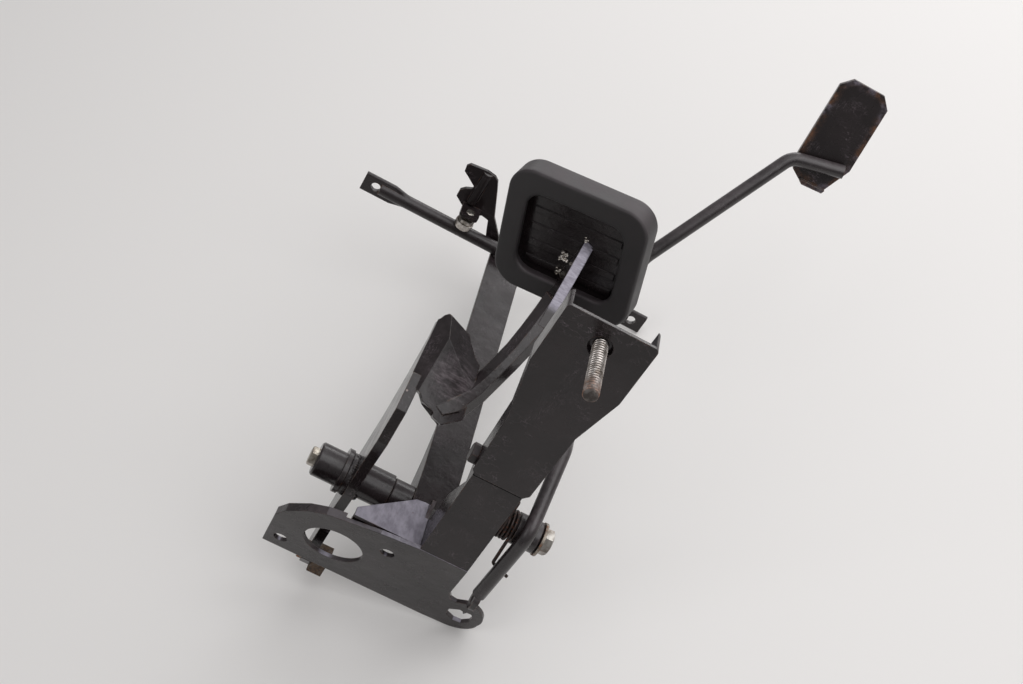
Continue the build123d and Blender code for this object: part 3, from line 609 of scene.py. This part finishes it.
def thread_tree():
    """A threaded rod along +Z. A grid is rolled up, and each point's radius follows a
    triangular thread that climbs one pitch in each turn."""
    tree, given = new_tree("threaded_rod", (
        ("Length", "Float", 0.04), ("Diameter", "Float", 0.008), ("Pitch", "Float", 0.00125),
        ("Depth", "Float", 0.0007), ("Rows", "Int", 320), ("Sides", "Int", 33),
        ("Material", "Material", None)))
    sheet = add_node(tree, "GeometryNodeMeshGrid", {
        "Size X": 1.0, "Size Y": 1.0, "Vertices X": given["Rows"],
        "Vertices Y": given["Sides"]})
    place = add_node(tree, "GeometryNodeInputPosition").outputs[0]
    split = add_node(tree, "ShaderNodeSeparateXYZ", {0: place}).outputs
    along = formula(tree, "ADD", split[0], 0.5)
    round_share = formula(tree, "ADD", split[1], 0.5)
    height = formula(tree, "MULTIPLY", along, given["Length"])
    # a triangular wave, steepened and clamped so that crests and roots have narrow flats
    steep, lift = 2.6, 0.3
    phase = ("SUBTRACT", ("DIVIDE", height, given["Pitch"]), round_share)
    wave = add_node(tree, "ShaderNodeClamp", {"Value": formula(
        tree, "SUBTRACT", ("MULTIPLY", ("PINGPONG", phase, 0.5), steep), lift)}).outputs[0]
    crest = formula(tree, "MULTIPLY", given["Diameter"], 0.5)
    cut = ("SUBTRACT", crest, ("MULTIPLY", wave, given["Depth"]))
    # turned-off point at the free end, and both ends closed on the axis
    point = ("ADD", ("SUBTRACT", crest, given["Depth"]),
             ("SUBTRACT", given["Length"], height))
    inside = ("MULTIPLY", ("LESS_THAN", along, 0.99999), ("GREATER_THAN", along, 0.00001))
    radius = formula(tree, "MULTIPLY", ("MINIMUM", cut, point), inside)
    angle = formula(tree, "MULTIPLY", round_share, 2 * pi)
    rolled = add_node(tree, "ShaderNodeCombineXYZ", {
        0: formula(tree, "MULTIPLY", radius, ("COSINE", angle)),
        1: formula(tree, "MULTIPLY", radius, ("SINE", angle)), 2: height})
    moved = add_node(tree, "GeometryNodeSetPosition",
                     {"Geometry": sheet.outputs[0], "Position": rolled.outputs[0]})
    joined = add_node(tree, "GeometryNodeMergeByDistance",
                      {"Geometry": moved.outputs[0], "Distance": 0.000002})
    end_tree(tree, joined.outputs[0], given["Material"])


def wire_tree():
    """Round wire swept along the curve that it is given."""
    tree, given = new_tree("round_wire", (
        ("Wire Radius", "Float", 0.0011), ("Sides", "Int", 16),
        ("Material", "Material", None)))
    section = add_node(tree, "GeometryNodeCurvePrimitiveCircle",
                       {"Resolution": given["Sides"], "Radius": given["Wire Radius"]})
    swept = add_node(tree, "GeometryNodeCurveToMesh", {
        "Curve": given["Geometry"], "Profile Curve": section.outputs["Curve"],
        "Fill Caps": True})
    end_tree(tree, swept.outputs[0], given["Material"])


def bead_tree():
    """Weld beads. Flattened drops overlap along each curve, one ripple apart, and their
    size and place vary a little."""
    tree, given = new_tree("weld_bead", (
        ("Bead Width", "Float", 0.004), ("Step", "Float", 0.0012), ("Seed", "Int", 7),
        ("Scatter", "Float", 0.00035), ("Material", "Material", None)))
    path = add_node(tree, "GeometryNodeMeshToCurve", {"Mesh": given["Geometry"]})
    points = add_node(tree, "GeometryNodeCurveToPoints",
                      {"Curve": path.outputs[0], "Length": given["Step"]}, mode="LENGTH")
    drop = add_node(tree, "GeometryNodeMeshUVSphere",
                    {"Segments": 14, "Rings": 8, "Radius": 0.5})
    jitter = add_node(tree, "FunctionNodeRandomValue", {
        0: (-1, -1, -1), 1: (1, 1, 1), "Seed": given["Seed"]}, data_type="FLOAT_VECTOR")
    jitter = add_node(tree, "ShaderNodeVectorMath", {
        0: jitter.outputs[0], "Scale": given["Scatter"]}, operation="SCALE")
    shaken = add_node(tree, "GeometryNodeSetPosition",
                      {"Geometry": points.outputs["Points"], "Offset": jitter.outputs[0]})
    swell = add_node(tree, "FunctionNodeRandomValue",
                     {2: 0.82, 3: 1.12, "Seed": given["Seed"]}, data_type="FLOAT")
    width = formula(tree, "MULTIPLY", swell.outputs[1], given["Bead Width"])
    size = add_node(tree, "ShaderNodeCombineXYZ",
                    {0: width, 1: width, 2: formula(tree, "MULTIPLY", width, 0.62)})
    placed = add_node(tree, "GeometryNodeInstanceOnPoints", {
        "Points": shaken.outputs[0], "Instance": drop.outputs[0],
        "Rotation": points.outputs["Rotation"], "Scale": size.outputs[0]})
    end_tree(tree, placed.outputs[0], given["Material"])


def grown(name, kind, values, base=None):
    """Run a Geometry Nodes tree with the given inputs, and return its plain mesh."""
    tree = bpy.data.node_groups[kind]
    carrier = make_object(name + "_carrier", base or bpy.data.meshes.new(name + "_base"))
    modifier = carrier.modifiers.new(name, "NODES")
    modifier.node_group = tree
    for item in tree.interface.items_tree:
        if item.in_out == "INPUT" and item.name in values:
            modifier[item.identifier] = values[item.name]
    depsgraph = bpy.context.evaluated_depsgraph_get()
    mesh = bpy.data.meshes.new_from_object(carrier.evaluated_get(depsgraph))
    bpy.data.objects.remove(carrier)
    if not mesh.polygons:
        raise RuntimeError(name + " came out empty")
    mesh.name = name
    return mesh


def smooth_by_angle(mesh, degrees):
    """Shade a mesh smooth, with its edges sharper than an angle kept crisp."""
    bm = bmesh.new()
    bm.from_mesh(mesh)
    for face in bm.faces:
        face.smooth = True
    for edge in bm.edges:
        edge.smooth = len(edge.link_faces) == 2 and edge.calc_face_angle(0) < radians(degrees)
    bm.to_mesh(mesh)
    bm.free()


def closed_mesh(name, bm, degrees, rod=None):
    """Turn a bmesh outwards, join it with a threaded rod, and shade it by angle."""
    bmesh.ops.recalc_face_normals(bm, faces=bm.faces)
    if rod:
        bm.from_mesh(rod)
    mesh = bpy.data.meshes.new(name)
    bm.to_mesh(mesh)
    bm.free()
    smooth_by_angle(mesh, degrees)
    return mesh


def threaded_rod(name, matrix, head, values):
    """A threaded rod that starts just inside its head."""
    rod = grown(name, "threaded_rod", values)
    rod.transform(matrix @ Matrix.Translation((0, 0, head - ROD_OVERLAP)))
    return rod


def fastener(node, thread, slot, material, axis, across, head, shank=0.0, pitch=0.001,
             bore=0.0, round_head=False):
    """A bolt or nut in the place of its CAD node. Axis points from the head to the tip."""
    name = node + thread
    low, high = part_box(node)
    axis, size = Vector(axis), high - low
    reach = abs(size.dot(axis))
    matrix = axis_matrix((low + high) / 2 - axis * (reach / 2), axis)
    bm = bmesh.new()
    if round_head:
        # a buffer head, as its height and radius in shares of the whole
        profile = ((0.0, 0.72), (0.12, 0.9), (0.35, 1.0), (0.9, 1.0), (1.0, 0.94))
        skin(bm, [ring_loop(bm, matrix, [across / 2 * share] * 48, head * at)
                  for at, share in profile])
    else:
        # the hexagon's corners follow the longer side of the node's box
        wide, other = (matrix.to_3x3() @ Vector(way) for way in ((1, 0, 0), (0, 1, 0)))
        turn = 0.0 if abs(size.dot(wide)) > abs(size.dot(other)) else pi / 6
        flipped = matrix @ Matrix.Translation((0, 0, head)) @ Matrix.Rotation(pi, 4, "X")
        chamfer = bpy.context.scene.pedal_threads.head_chamfer
        hexagon(bm, flipped, across, head, chamfer, bore, turn)
    rod = None
    if shank:
        length = reach - head + ROD_OVERLAP
        rod = threaded_rod(name + "_rod", matrix, head, {
            "Length": length, "Diameter": shank, "Pitch": pitch, "Depth": 0.6 * pitch,
            "Rows": int(8 * length / pitch) + 1, "Sides": 33, "Material": material})
    finish_piece(closed_mesh(name, bm, 32, rod), "bracket", slot, material, node)


class PEDALS_OT_paint(bpy.types.Operator):
    """Paint the bracket, the stay, the levers and the rod, and finish the bare metal"""
    bl_idname = "pedals.paint"
    bl_label = "Paint the steel"

    def execute(self, context):
        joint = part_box("upper_channel")[0].z
        # sheet edges and the shelf that look straight up get a painted reflection of the lamps,
        # pale like bare steel
        tops = ((0, 0, 1), (0, 0, 1), -1.0, 1.0)
        dress(chassis_black("satin_black_plate", 1, 0.20, 0.26, 0.55, 0.7, bright=tops,
                            joint_shadow=(joint - JOINT_SHADOW_HEIGHT, joint)), "firewall_bracket")
        dress(chassis_black("black_shelf_scuffed_and_sheen_painted", 21, 0.24, 1.0, 0.9, 0.7, bright=tops),
              "shelf_gusset")
        dress(chassis_black("satin_black_channel", 2, 0.18, 0.16, 0.5, 0.6), "upper_channel")
        dress(chassis_black("satin_black_stay", 3, 0.20, 0.06, 0.6, 0.7, mirror=0.16),
              "rear_stay", "rear_bracket")
        dress(chassis_black("satin_black_tube", 4, 0.24, 0.2, 0.7, 0.4), "cross_tube")
        dress(chassis_black("gloss_black_pivot", 5, 0.17, 0.22, 0.6, 0.3),
              "pivot_spacer", "end_collar", "brake_hub")
        # the front edge of the blade is rubbed bare up to its top
        top = ARM_RISE.dot(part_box("brake_arm")[1])
        dress(chassis_black("gloss_black_arm", 6, 0.15, 0.12, 0.75, 0.9, 0.9,
                            bright=(ARM_FRONT, ARM_RISE, BLADE_FROM, top),
                            scuff_highlight=(HUMP, HUMP_SCUFF_HIGHLIGHT)), "brake_arm")
        dress(chassis_black("gloss_black_pad_plate", 20, 0.18, 0.1, 0.0, 0.3), "pad_plate")
        dress(chassis_black("gloss_black_rod", 7, 0.22, 0.4, 0.9, 0.7, 0.6, mirror=0.6),
              "throttle_sleeve", "throttle_rod")
        dress(chassis_black("worn_black_tread", 8, 0.22, 0.22, 1.0, 1.0, 0.6, haze=1.0),
              "throttle_plate")
        dress(zinc("turned_steel_shaft", 9, 0.12, "#8e8881", 0.3), "pivot_shaft")
        dress(zinc("rusted_clevis_steel", 10, 0.50, "#6e655e", 0.5, ("#2a1f1b", "#64503f")),
              "push_block")
        dress(zinc("rusted_pin_steel", 11, 0.42, "#7d746b", 0.45), "lever_pin")
        dress(zinc("dull_zinc_washer", 12, 0.24), "throttle_washer")
        dress(moulded_nylon("natural_nylon", 13), "hub_bushes", "throttle_bush")
        return {"FINISHED"}


class PEDALS_OT_stud(bpy.types.Operator):
    """Cut the thread of the long stud and forge its flat head"""
    bl_idname = "pedals.stud"
    bl_label = "Dash stud"

    def execute(self, context):
        settings = context.scene.pedal_threads
        low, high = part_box("dash_stud")
        length, radius = high.y - low.y, (high.x - low.x) / 2
        start = Vector(((low.x + high.x) / 2, high.y, (low.z + high.z) / 2))
        axis = Vector((0, -1, 0))
        matrix = axis_matrix(start, axis)
        material = zinc("rusty_zinc_stud", 14, 0.10, "#e2dcd8", 0.24, thread=(
            start, axis, STUD_DIAMETER / 2, settings.stud_depth, length))
        rod = threaded_rod("stud_thread", matrix, STUD_HEAD, {
            "Length": length - STUD_HEAD + ROD_OVERLAP, "Diameter": STUD_DIAMETER,
            "Pitch": settings.stud_pitch, "Depth": settings.stud_depth,
            "Rows": int(10 * length / settings.stud_pitch), "Sides": 41,
            "Material": material})
        bm = bmesh.new()
        profile = ((0.0, 0.93), (0.0003, 1.0), (STUD_HEAD - 0.0003, 1.0), (STUD_HEAD, 0.97))
        skin(bm, [ring_loop(bm, matrix, [radius * share] * 64, at) for at, share in profile])
        mesh = closed_mesh("dash_stud_threaded", bm, 50, rod)
        finish_piece(mesh, "bracket", "rusty_zinc", material, "dash_stud")
        # the head behind the web was painted with the channel
        mesh.materials.append(bpy.data.materials["satin_black_channel"])
        for face in mesh.polygons:
            if face.center.y > high.y - STUD_HEAD - 0.0001:
                face.material_index = 1
        return {"FINISHED"}


class PEDALS_OT_fasteners(bpy.types.Operator):
    """Make the chamfered hexagons and threaded shanks of the bolts, nuts and stop screw"""
    bl_idname = "pedals.fasteners"
    bl_label = "Bolts and nuts"

    def execute(self, context):
        black = chassis_black("black_oxide_fastener", 15, 0.4, 0.3, 0.8, 0.2)
        bright = zinc("dull_zinc_bolt", 16, 0.16, "#b7b3ae", 0.36)
        pale = zinc("pale_zinc_bolt", 24, 0.08, "#ded8d2", 0.34)
        rusty = zinc("rusty_zinc_bolt", 17, 0.14, "#cdc6ba", 0.34)
        right, left, up = (1, 0, 0), (-1, 0, 0), (0, 0, 1)
        # in metres: across flats, height of the head, then the shank and its pitch, or the
        # bore
        fastener("joint_bolt", "_m6", "black_fastener", black, right, 0.010, 0.004, 0.006)
        fastener("joint_nut", "_m6", "black_fastener", black, right, 0.010, 0.005,
                 bore=0.0061)
        fastener("collar_bolt", "_m6", "rusty_zinc", rusty, right, 0.010, 0.004, 0.006)
        fastener("shaft_nut", "_m8", "dull_zinc", bright, right, 0.013, 0.0065, bore=0.0081)
        fastener("throttle_bolt", "_m8", "dull_zinc", bright, left, 0.013, 0.0053, 0.008,
                 0.00125)
        fastener("throttle_nut", "_m8", "dull_zinc", bright, left, 0.013, 0.0065,
                 bore=0.0081)
        fastener("stop_nut", "_m6", "dull_zinc", pale, up, 0.010, 0.0032, bore=0.0061)
        fastener("stop_screw", "_m6", "dull_zinc", pale, up, 0.0124, 0.0052, 0.006,
                 round_head=True)
        return {"FINISHED"}


def rounded_corners(points, radius):
    """The same path with each inner corner turned on an arc, drawn as short chords."""
    path = [points[0]]
    for before, corner, after in zip(points, points[1:], points[2:]):
        into, out = (before - corner).normalized(), (after - corner).normalized()
        half = acos(max(-1, min(1, into.dot(out)))) / 2
        back = min(radius / tan(half), 0.48 * (before - corner).length,
                   0.48 * (after - corner).length)
        start, end = corner + into * back, corner + out * back
        for step in range(7):
            share = step / 6
            path.append((1 - share) ** 2 * start + 2 * share * (1 - share) * corner
                        + share ** 2 * end)
    path.append(points[-1])
    return path


class PEDALS_OT_spring(bpy.types.Operator):
    """Wind the accelerator's return spring from round wire, with its two hooked legs"""
    bl_idname = "pedals.spring"
    bl_label = "Return spring"

    def execute(self, context):
        settings = context.scene.pedal_spring
        bolt_low, bolt_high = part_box("throttle_bolt")
        centre = (bolt_low + bolt_high) / 2
        wire, radius, turns = settings.wire, settings.coil_radius, settings.turns
        # turns 0.1 mm apart, the first one 0.9 mm along the sleeve's neck
        pitch = wire + 0.0001
        start_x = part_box("throttle_sleeve")[0].x + wire / 2 + 0.0009

        def at(out, down, along):
            """A place by the coil: forwards, down the column and along the axle."""
            return Vector((start_x + along, centre.y - out, centre.z - down))

        slope = pitch / (2 * pi * radius)
        leg, steps = 0.026, 48
        first = [at(radius, -leg, -0.007), at(radius, -leg, -leg * slope), at(radius, 0, 0)]
        coil = [at(radius * cos(2 * pi * step / steps), radius * sin(2 * pi * step / steps),
                   pitch * step / steps) for step in range(1, turns * steps)]
        top = turns * pitch
        last = [at(radius, 0, top), at(radius, 0.004, top + 0.004 * slope),
                at(0.00785, 0.0235, 0.0076), at(0.00785, 0.0285, 0.0188)]
        points = rounded_corners(first, 0.0019) + coil + rounded_corners(last, 0.0024)
        curve = bpy.data.curves.new("spring_path", "CURVE")
        curve.dimensions = "3D"
        spline = curve.splines.new("POLY")
        spline.points.add(len(points) - 1)
        for point, place in zip(spline.points, points):
            point.co = (*place, 1)
        material = spring_steel("oiled_spring_wire", 18)
        mesh = grown("return_spring_wire", "round_wire", {
            "Wire Radius": wire / 2 * 0.99, "Sides": settings.sides, "Material": material},
            curve)
        smooth_by_angle(mesh, 50)
        finish_piece(mesh, "accelerator", "spring_steel", material, "return_spring")
        return {"FINISHED"}


def rounded_rectangle(width, height, corner, count):
    """Points round a rectangle with round corners. Each quarter has as many points, so
    that loops of any size join point to point."""
    corner = max(0.0001, min(corner, width / 2 - 0.0001, height / 2 - 0.0001))
    side = count // 4
    points = []
    for quarter in range(4):
        turn = Matrix.Rotation(quarter * pi / 2, 2)
        half_w, half_h = width / 2, height / 2
        if quarter % 2:
            half_w, half_h = half_h, half_w
        # from the middle of one side, round a corner, to the middle of the next
        for step in range(side):
            share = step / side
            if share < 0.25:
                spot = (half_w, (half_h - corner) * share * 4)
            elif share < 0.75:
                angle = (share - 0.25) * pi
                spot = (half_w - corner + corner * cos(angle),
                        half_h - corner + corner * sin(angle))
            else:
                spot = ((half_w - corner) * (1 - share) * 4, half_h)
            points.append(turn @ Vector(spot))
    return points


class PEDALS_OT_pad(bpy.types.Operator):
    """Mould the rubber pad that wraps the pedal plate, with its lips and cross grooves"""
    bl_idname = "pedals.pad"
    bl_label = "Brake pad"

    def execute(self, context):
        settings = context.scene.pedal_pad
        up, normal = PAD_UP.normalized(), PAD_NORMAL.normalized()
        matrix = axes_matrix(PAD_CENTRE * MM, PAD_SIDE, up, normal)
        (width, height, depth), (open_w, open_h) = PAD_SIZE, PAD_WINDOW
        edge, back_edge, seat = settings.edge, settings.back_edge, PAD_SEAT_DEPTH
        bm = bmesh.new()

        def loop(wide, high, corner, level):
            return [bm.verts.new(matrix @ Vector((*spot, level)))
                    for spot in rounded_rectangle(wide, high, corner, 160)]

        def inset(amount, level, corner=PAD_CORNER):
            return loop(width - 2 * amount, height - 2 * amount, corner - amount, level)

        # seat for the steel plate, its undercut, and the mouth with a rounded lip
        seat_w, seat_h = width - 0.014, height - 0.014
        loops = [loop(seat_w - 2 * amount, seat_h - 2 * amount,
                      max(0.002, 0.012 - amount * 0.4), seat + 0.003)
                 for amount in (0.030, 0.020, 0.010, 0.0)]
        loops += [loop(*rim) for rim in (
            (seat_w, seat_h, 0.012, seat), (open_w + 0.007, open_h + 0.006, 0.012, seat),
            (open_w + 0.007, open_h + 0.006, 0.012, seat - 0.005),
            (open_w + 0.001, open_h + 0.001, 0.0105, seat - 0.005))]
        lip = 0.0016
        for step in range(7):
            angle = step / 6 * pi / 2
            out = 2 * lip * (1 - cos(angle))
            loops.append(loop(open_w + out, open_h + out, 0.010,
                              lip * (1 - sin(angle)) + 0.00001 * (6 - step)))
        # the flat back face, the outer edges and the side wall
        quarter = [step / 8 * pi / 2 for step in range(9)]
        loops += [inset(amount, 0.0) for amount in (0.0085, 0.004)]
        loops += [inset(back_edge * (1 - sin(turn)), back_edge * (1 - cos(turn)))
                  for turn in quarter]
        loops += [inset(0.0, back_edge + (depth - edge - back_edge) * step / 5)
                  for step in range(1, 5)]
        loops += [inset(edge * (1 - cos(turn)), depth - edge * (1 - sin(turn)))
                  for turn in quarter]
        # tread face in closed rings, down to a small one in the middle
        rings, reach = 54, height / 2 - 0.0008
        for step in range(1, rings + 1):
            amount = edge + (reach - edge) * step / rings
            loops.append(inset(amount, depth, PAD_CORNER + 0.2 * amount))
        skin(bm, loops)
        # five cross grooves with round ends, pressed in with soft edges of 0.8 mm
        local = matrix.inverted()
        half = settings.groove_width / 2
        for vert in bm.verts:
            spot = local @ vert.co
            if spot.z < depth - 0.00005:
                continue
            over = max(abs(spot.x) - (GROOVE_REACH - half), 0.0)
            dip = 0.0
            for row in range(-2, 3):
                away = sqrt(over ** 2 + (spot.y - GROOVE_SPACING * row) ** 2)
                share = min(1.0, max(0.0, (half + 0.0004 - away) / 0.0008))
                dip = max(dip, share * share * (3 - 2 * share))
            vert.co -= normal * (settings.groove_depth * dip)
        finish_piece(closed_mesh("brake_pad_rubber", bm, 60), "brake_pedal", "pad_rubber",
                     moulded_rubber("moulded_pad_rubber", 19), "brake_pad")
        return {"FINISHED"}


def bead_lines(name, lines):
    """A mesh of open edges, one run for each weld, in metres."""
    verts, edges = [], []
    for line in lines:
        first = len(verts)
        verts.extend(Vector(point) * MM for point in line)
        edges.extend((at, at + 1) for at in range(first, len(verts) - 1))
    mesh = bpy.data.meshes.new(name)
    mesh.from_pydata(verts, edges, [])
    return mesh


def arc_line(centre, axis, radius, start, sweep):
    """Points of an arc round an axis, angles in degrees."""
    matrix, steps = axis_matrix(Vector(centre), axis), 24
    return [matrix @ Vector((radius * cos(radians(start + sweep * at / steps)),
                             radius * sin(radians(start + sweep * at / steps)), 0))
            for at in range(steps + 1)]


class PEDALS_OT_welds(bpy.types.Operator):
    """Lay the weld beads where the hub, the pad's plate and the cross tube are welded on"""
    bl_idname = "pedals.welds"
    bl_label = "Weld beads"

    def execute(self, context):
        settings = context.scene.pedal_welds
        # round the hub on both faces of the arm, whose sheet lies 2.5 to 8.5 mm left of
        # the middle
        hub_runs = [arc_line((x, BRAKE_AXIS.y, BRAKE_AXIS.z), (1, 0, 0), 10.8, start, 200)
                    for x, start in ((-2.5 + 0.6, 200), (-8.5 - 0.6, 20))]
        # three short tacks beside the blade, each laid as a few touching runs
        tacks = []
        for across, along, runs, reach in ((-5.2, 4.6, 2, 3.0), (3.6, -10.8, 4, 5.0),
                                           (5.6, -22.0, 3, 4.5)):
            for run in range(runs):
                middle = (PAD_CENTRE + PAD_NORMAL * 8.3
                          + PAD_SIDE * (across + 1.3 * run - 1.5))
                tacks.append([middle + PAD_UP * (along + reach * (at / 4 - 0.5))
                              for at in range(5)])
        # both sides of the tube where it lies on the stay
        tube_low, tube_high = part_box("cross_tube")
        stay_low, stay_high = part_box("rear_stay")
        tube_y, stay_x = (tube_low.y + tube_high.y) / 2 / MM, stay_low.x / MM
        tube_runs = [[(stay_x + x, tube_y + gap, stay_high.z / MM + 0.2) for x in (3, 20)]
                     for gap in (-3.4, 3.4)]
        zinc("bare_weld_metal", 22, 0.10, "#f0e9e2", 0.2)
        # a bead's width and how far its ripples stray, in metres
        bead, stray = settings.bead, 0.00035
        for name, body, slot, lines, finish, width, scatter in (
                ("hub_welds", "brake_pedal", "black_paint_arm", hub_runs, "gloss_black_arm",
                 bead, stray),
                ("blade_tacks", "brake_pedal", "black_paint_arm", tacks, "bare_weld_metal",
                 bead * 0.62, 0.0008),
                ("tube_welds", "bracket", "black_paint_stay", tube_runs, "satin_black_stay",
                 bead, stray)):
            material = bpy.data.materials[finish]
            mesh = grown(name, "weld_bead", {
                "Bead Width": width, "Step": settings.step, "Seed": settings.seed,
                "Scatter": scatter, "Material": material}, bead_lines(name + "_lines", lines))
            finish_piece(mesh, body, slot, material)
        return {"FINISHED"}


class PEDALS_OT_studio(bpy.types.Operator):
    """Set the pale floor, the soft light and the camera of the photograph"""
    bl_idname = "pedals.studio"
    bl_label = "Studio"

    def execute(self, context):
        settings, scene = context.scene.pedal_studio, context.scene
        up = REST_UP.normalized()
        lowest = min((piece.matrix_world @ vert.co).dot(up)
                     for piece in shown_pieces() for vert in piece.data.vertices)
        mesh = bpy.data.meshes.new("floor")
        foot = axis_matrix(up * (lowest - FLOOR_GAP), up)
        mesh.from_pydata([foot @ Vector((x * FLOOR_REACH, y * FLOOR_REACH, 0)) for x, y in
                          ((-1, -1), (1, -1), (1, 1), (-1, 1))], [], [(0, 1, 2, 3)])
        floor = make_object("floor", mesh)
        # plain matt paper, which can be seen through from below
        material, tree, shader = new_material("matt_paper_floor")
        shade = (*settings.floor, 1)
        feed(tree, shader, {"Base Color": shade, "Roughness": 0.9,
                            "Specular IOR Level": 0.1})
        clear = add_node(tree, "ShaderNodeBsdfTransparent")
        mixed = add_node(tree, "ShaderNodeMixShader", {
            0: tree.nodes["face"].outputs["Backfacing"], 1: shader.outputs[0],
            2: clear.outputs[0]})
        feed(tree, tree.nodes["output"], {"Surface": mixed.outputs[0]})
        mesh.materials.append(material)
        floor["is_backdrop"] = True

        # the world lights the part dimly, and shows the camera the floor's own shade
        world = bpy.data.worlds.new("studio_world")
        scene.world = world
        world.use_nodes = True
        tree = world.node_tree
        tree.nodes.clear()
        path = add_node(tree, "ShaderNodeLightPath").outputs
        seen = formula(tree, "MAXIMUM", path["Is Camera Ray"], path["Is Transmission Ray"])
        ambient = add_node(tree, "ShaderNodeBackground",
                           {"Color": (1, 1, 1, 1), "Strength": 0.3})
        backdrop = add_node(tree, "ShaderNodeBackground", {"Color": shade, "Strength": 1.0})
        mixed = add_node(tree, "ShaderNodeMixShader", {
            0: seen, 1: ambient.outputs[0], 2: backdrop.outputs[0]})
        add_node(tree, "ShaderNodeOutputWorld", {"Surface": mixed.outputs[0]})

        data = bpy.data.cameras.new("camera")
        data.sensor_width, data.lens, data.clip_start = 36, CAMERA_LENS, 0.01
        camera = make_object("camera", data)
        camera.matrix_world = axes_matrix(CAMERA_PLACE, CAMERA_RIGHT, CAMERA_UP,
                                          CAMERA_RIGHT.cross(CAMERA_UP))
        scene.camera = camera
        scene.view_settings.view_transform = "Standard"

        low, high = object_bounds()
        ahead = (CAMERA_UP - up * CAMERA_UP.dot(up)).normalized()
        left, key = up.cross(ahead), settings.key
        # a broad softbox overhead, a strip low at the back that sheet tops and upper edges
        # mirror, a softbox in front that the blade's edge mirrors, and a weak fill
        for name, offset, width, reach, power in (
                ("overhead_softbox", Vector((0.0, 0.32, 1.1)), 1.3, 2.2, key * 1.3),
                ("back_strip", Vector((-0.04, 1.32, 0.80)), 1.9, 0.42, key * 1.3),
                ("front_softbox", Vector((0.19, -0.54, 1.06)), 1.0, 1.0, key * 0.9),
                ("left_fill", left * 0.9 - ahead * 0.5 + up * 0.8, 0.5, 0.5, key * 0.2)):
            data = bpy.data.lights.new(name, "AREA")
            data.shape, data.energy = "RECTANGLE", power
            data.size, data.size_y = width, reach
            away = offset.normalized()
            across = REST_UP.cross(away).normalized()
            make_object(name, data).matrix_world = axes_matrix(
                (low + high) / 2 + offset, across, away.cross(across), away)
        return {"FINISHED"}


class PEDALS_PT_panel(bpy.types.Panel):
    """Sizes, colours and steps of the pedal assembly"""
    bl_label = "Pedal assembly"
    bl_space_type = "VIEW_3D"
    bl_region_type = "UI"
    bl_category = "Pedals"

    def draw(self, context):
        for step in STEPS:
            self.layout.operator(step)
        for name, group in SETTINGS:
            box = self.layout.box()
            box.label(text=group.__name__.replace("Settings", ""))
            for prop in group.__annotations__:
                box.prop(getattr(context.scene, name), prop)


SETTINGS = (
    ("pedal_paint", PaintSettings),
    ("pedal_threads", ThreadSettings),
    ("pedal_spring", SpringSettings),
    ("pedal_pad", PadSettings),
    ("pedal_welds", WeldSettings),
    ("pedal_studio", StudioSettings),
)
STEPS = ("pedals.paint", "pedals.stud", "pedals.fasteners", "pedals.spring", "pedals.pad",
         "pedals.welds", "pedals.studio")
CLASSES = tuple(group for _, group in SETTINGS) + (
    PEDALS_OT_paint, PEDALS_OT_stud, PEDALS_OT_fasteners, PEDALS_OT_spring, PEDALS_OT_pad,
    PEDALS_OT_welds, PEDALS_OT_studio, PEDALS_PT_panel)


def register():
    for part in CLASSES:
        bpy.utils.register_class(part)
    for name, group in SETTINGS:
        setattr(bpy.types.Scene, name, PointerProperty(type=group))
    thread_tree()
    wire_tree()
    bead_tree()


def unregister():
    for name, _ in SETTINGS:
        delattr(bpy.types.Scene, name)
    for part in reversed(CLASSES):
        bpy.utils.unregister_class(part)


def main():
    register()
    for step in STEPS:
        space, operator = step.split(".")
        getattr(getattr(bpy.ops, space), operator)()


if __name__ == "__main__":
    main()
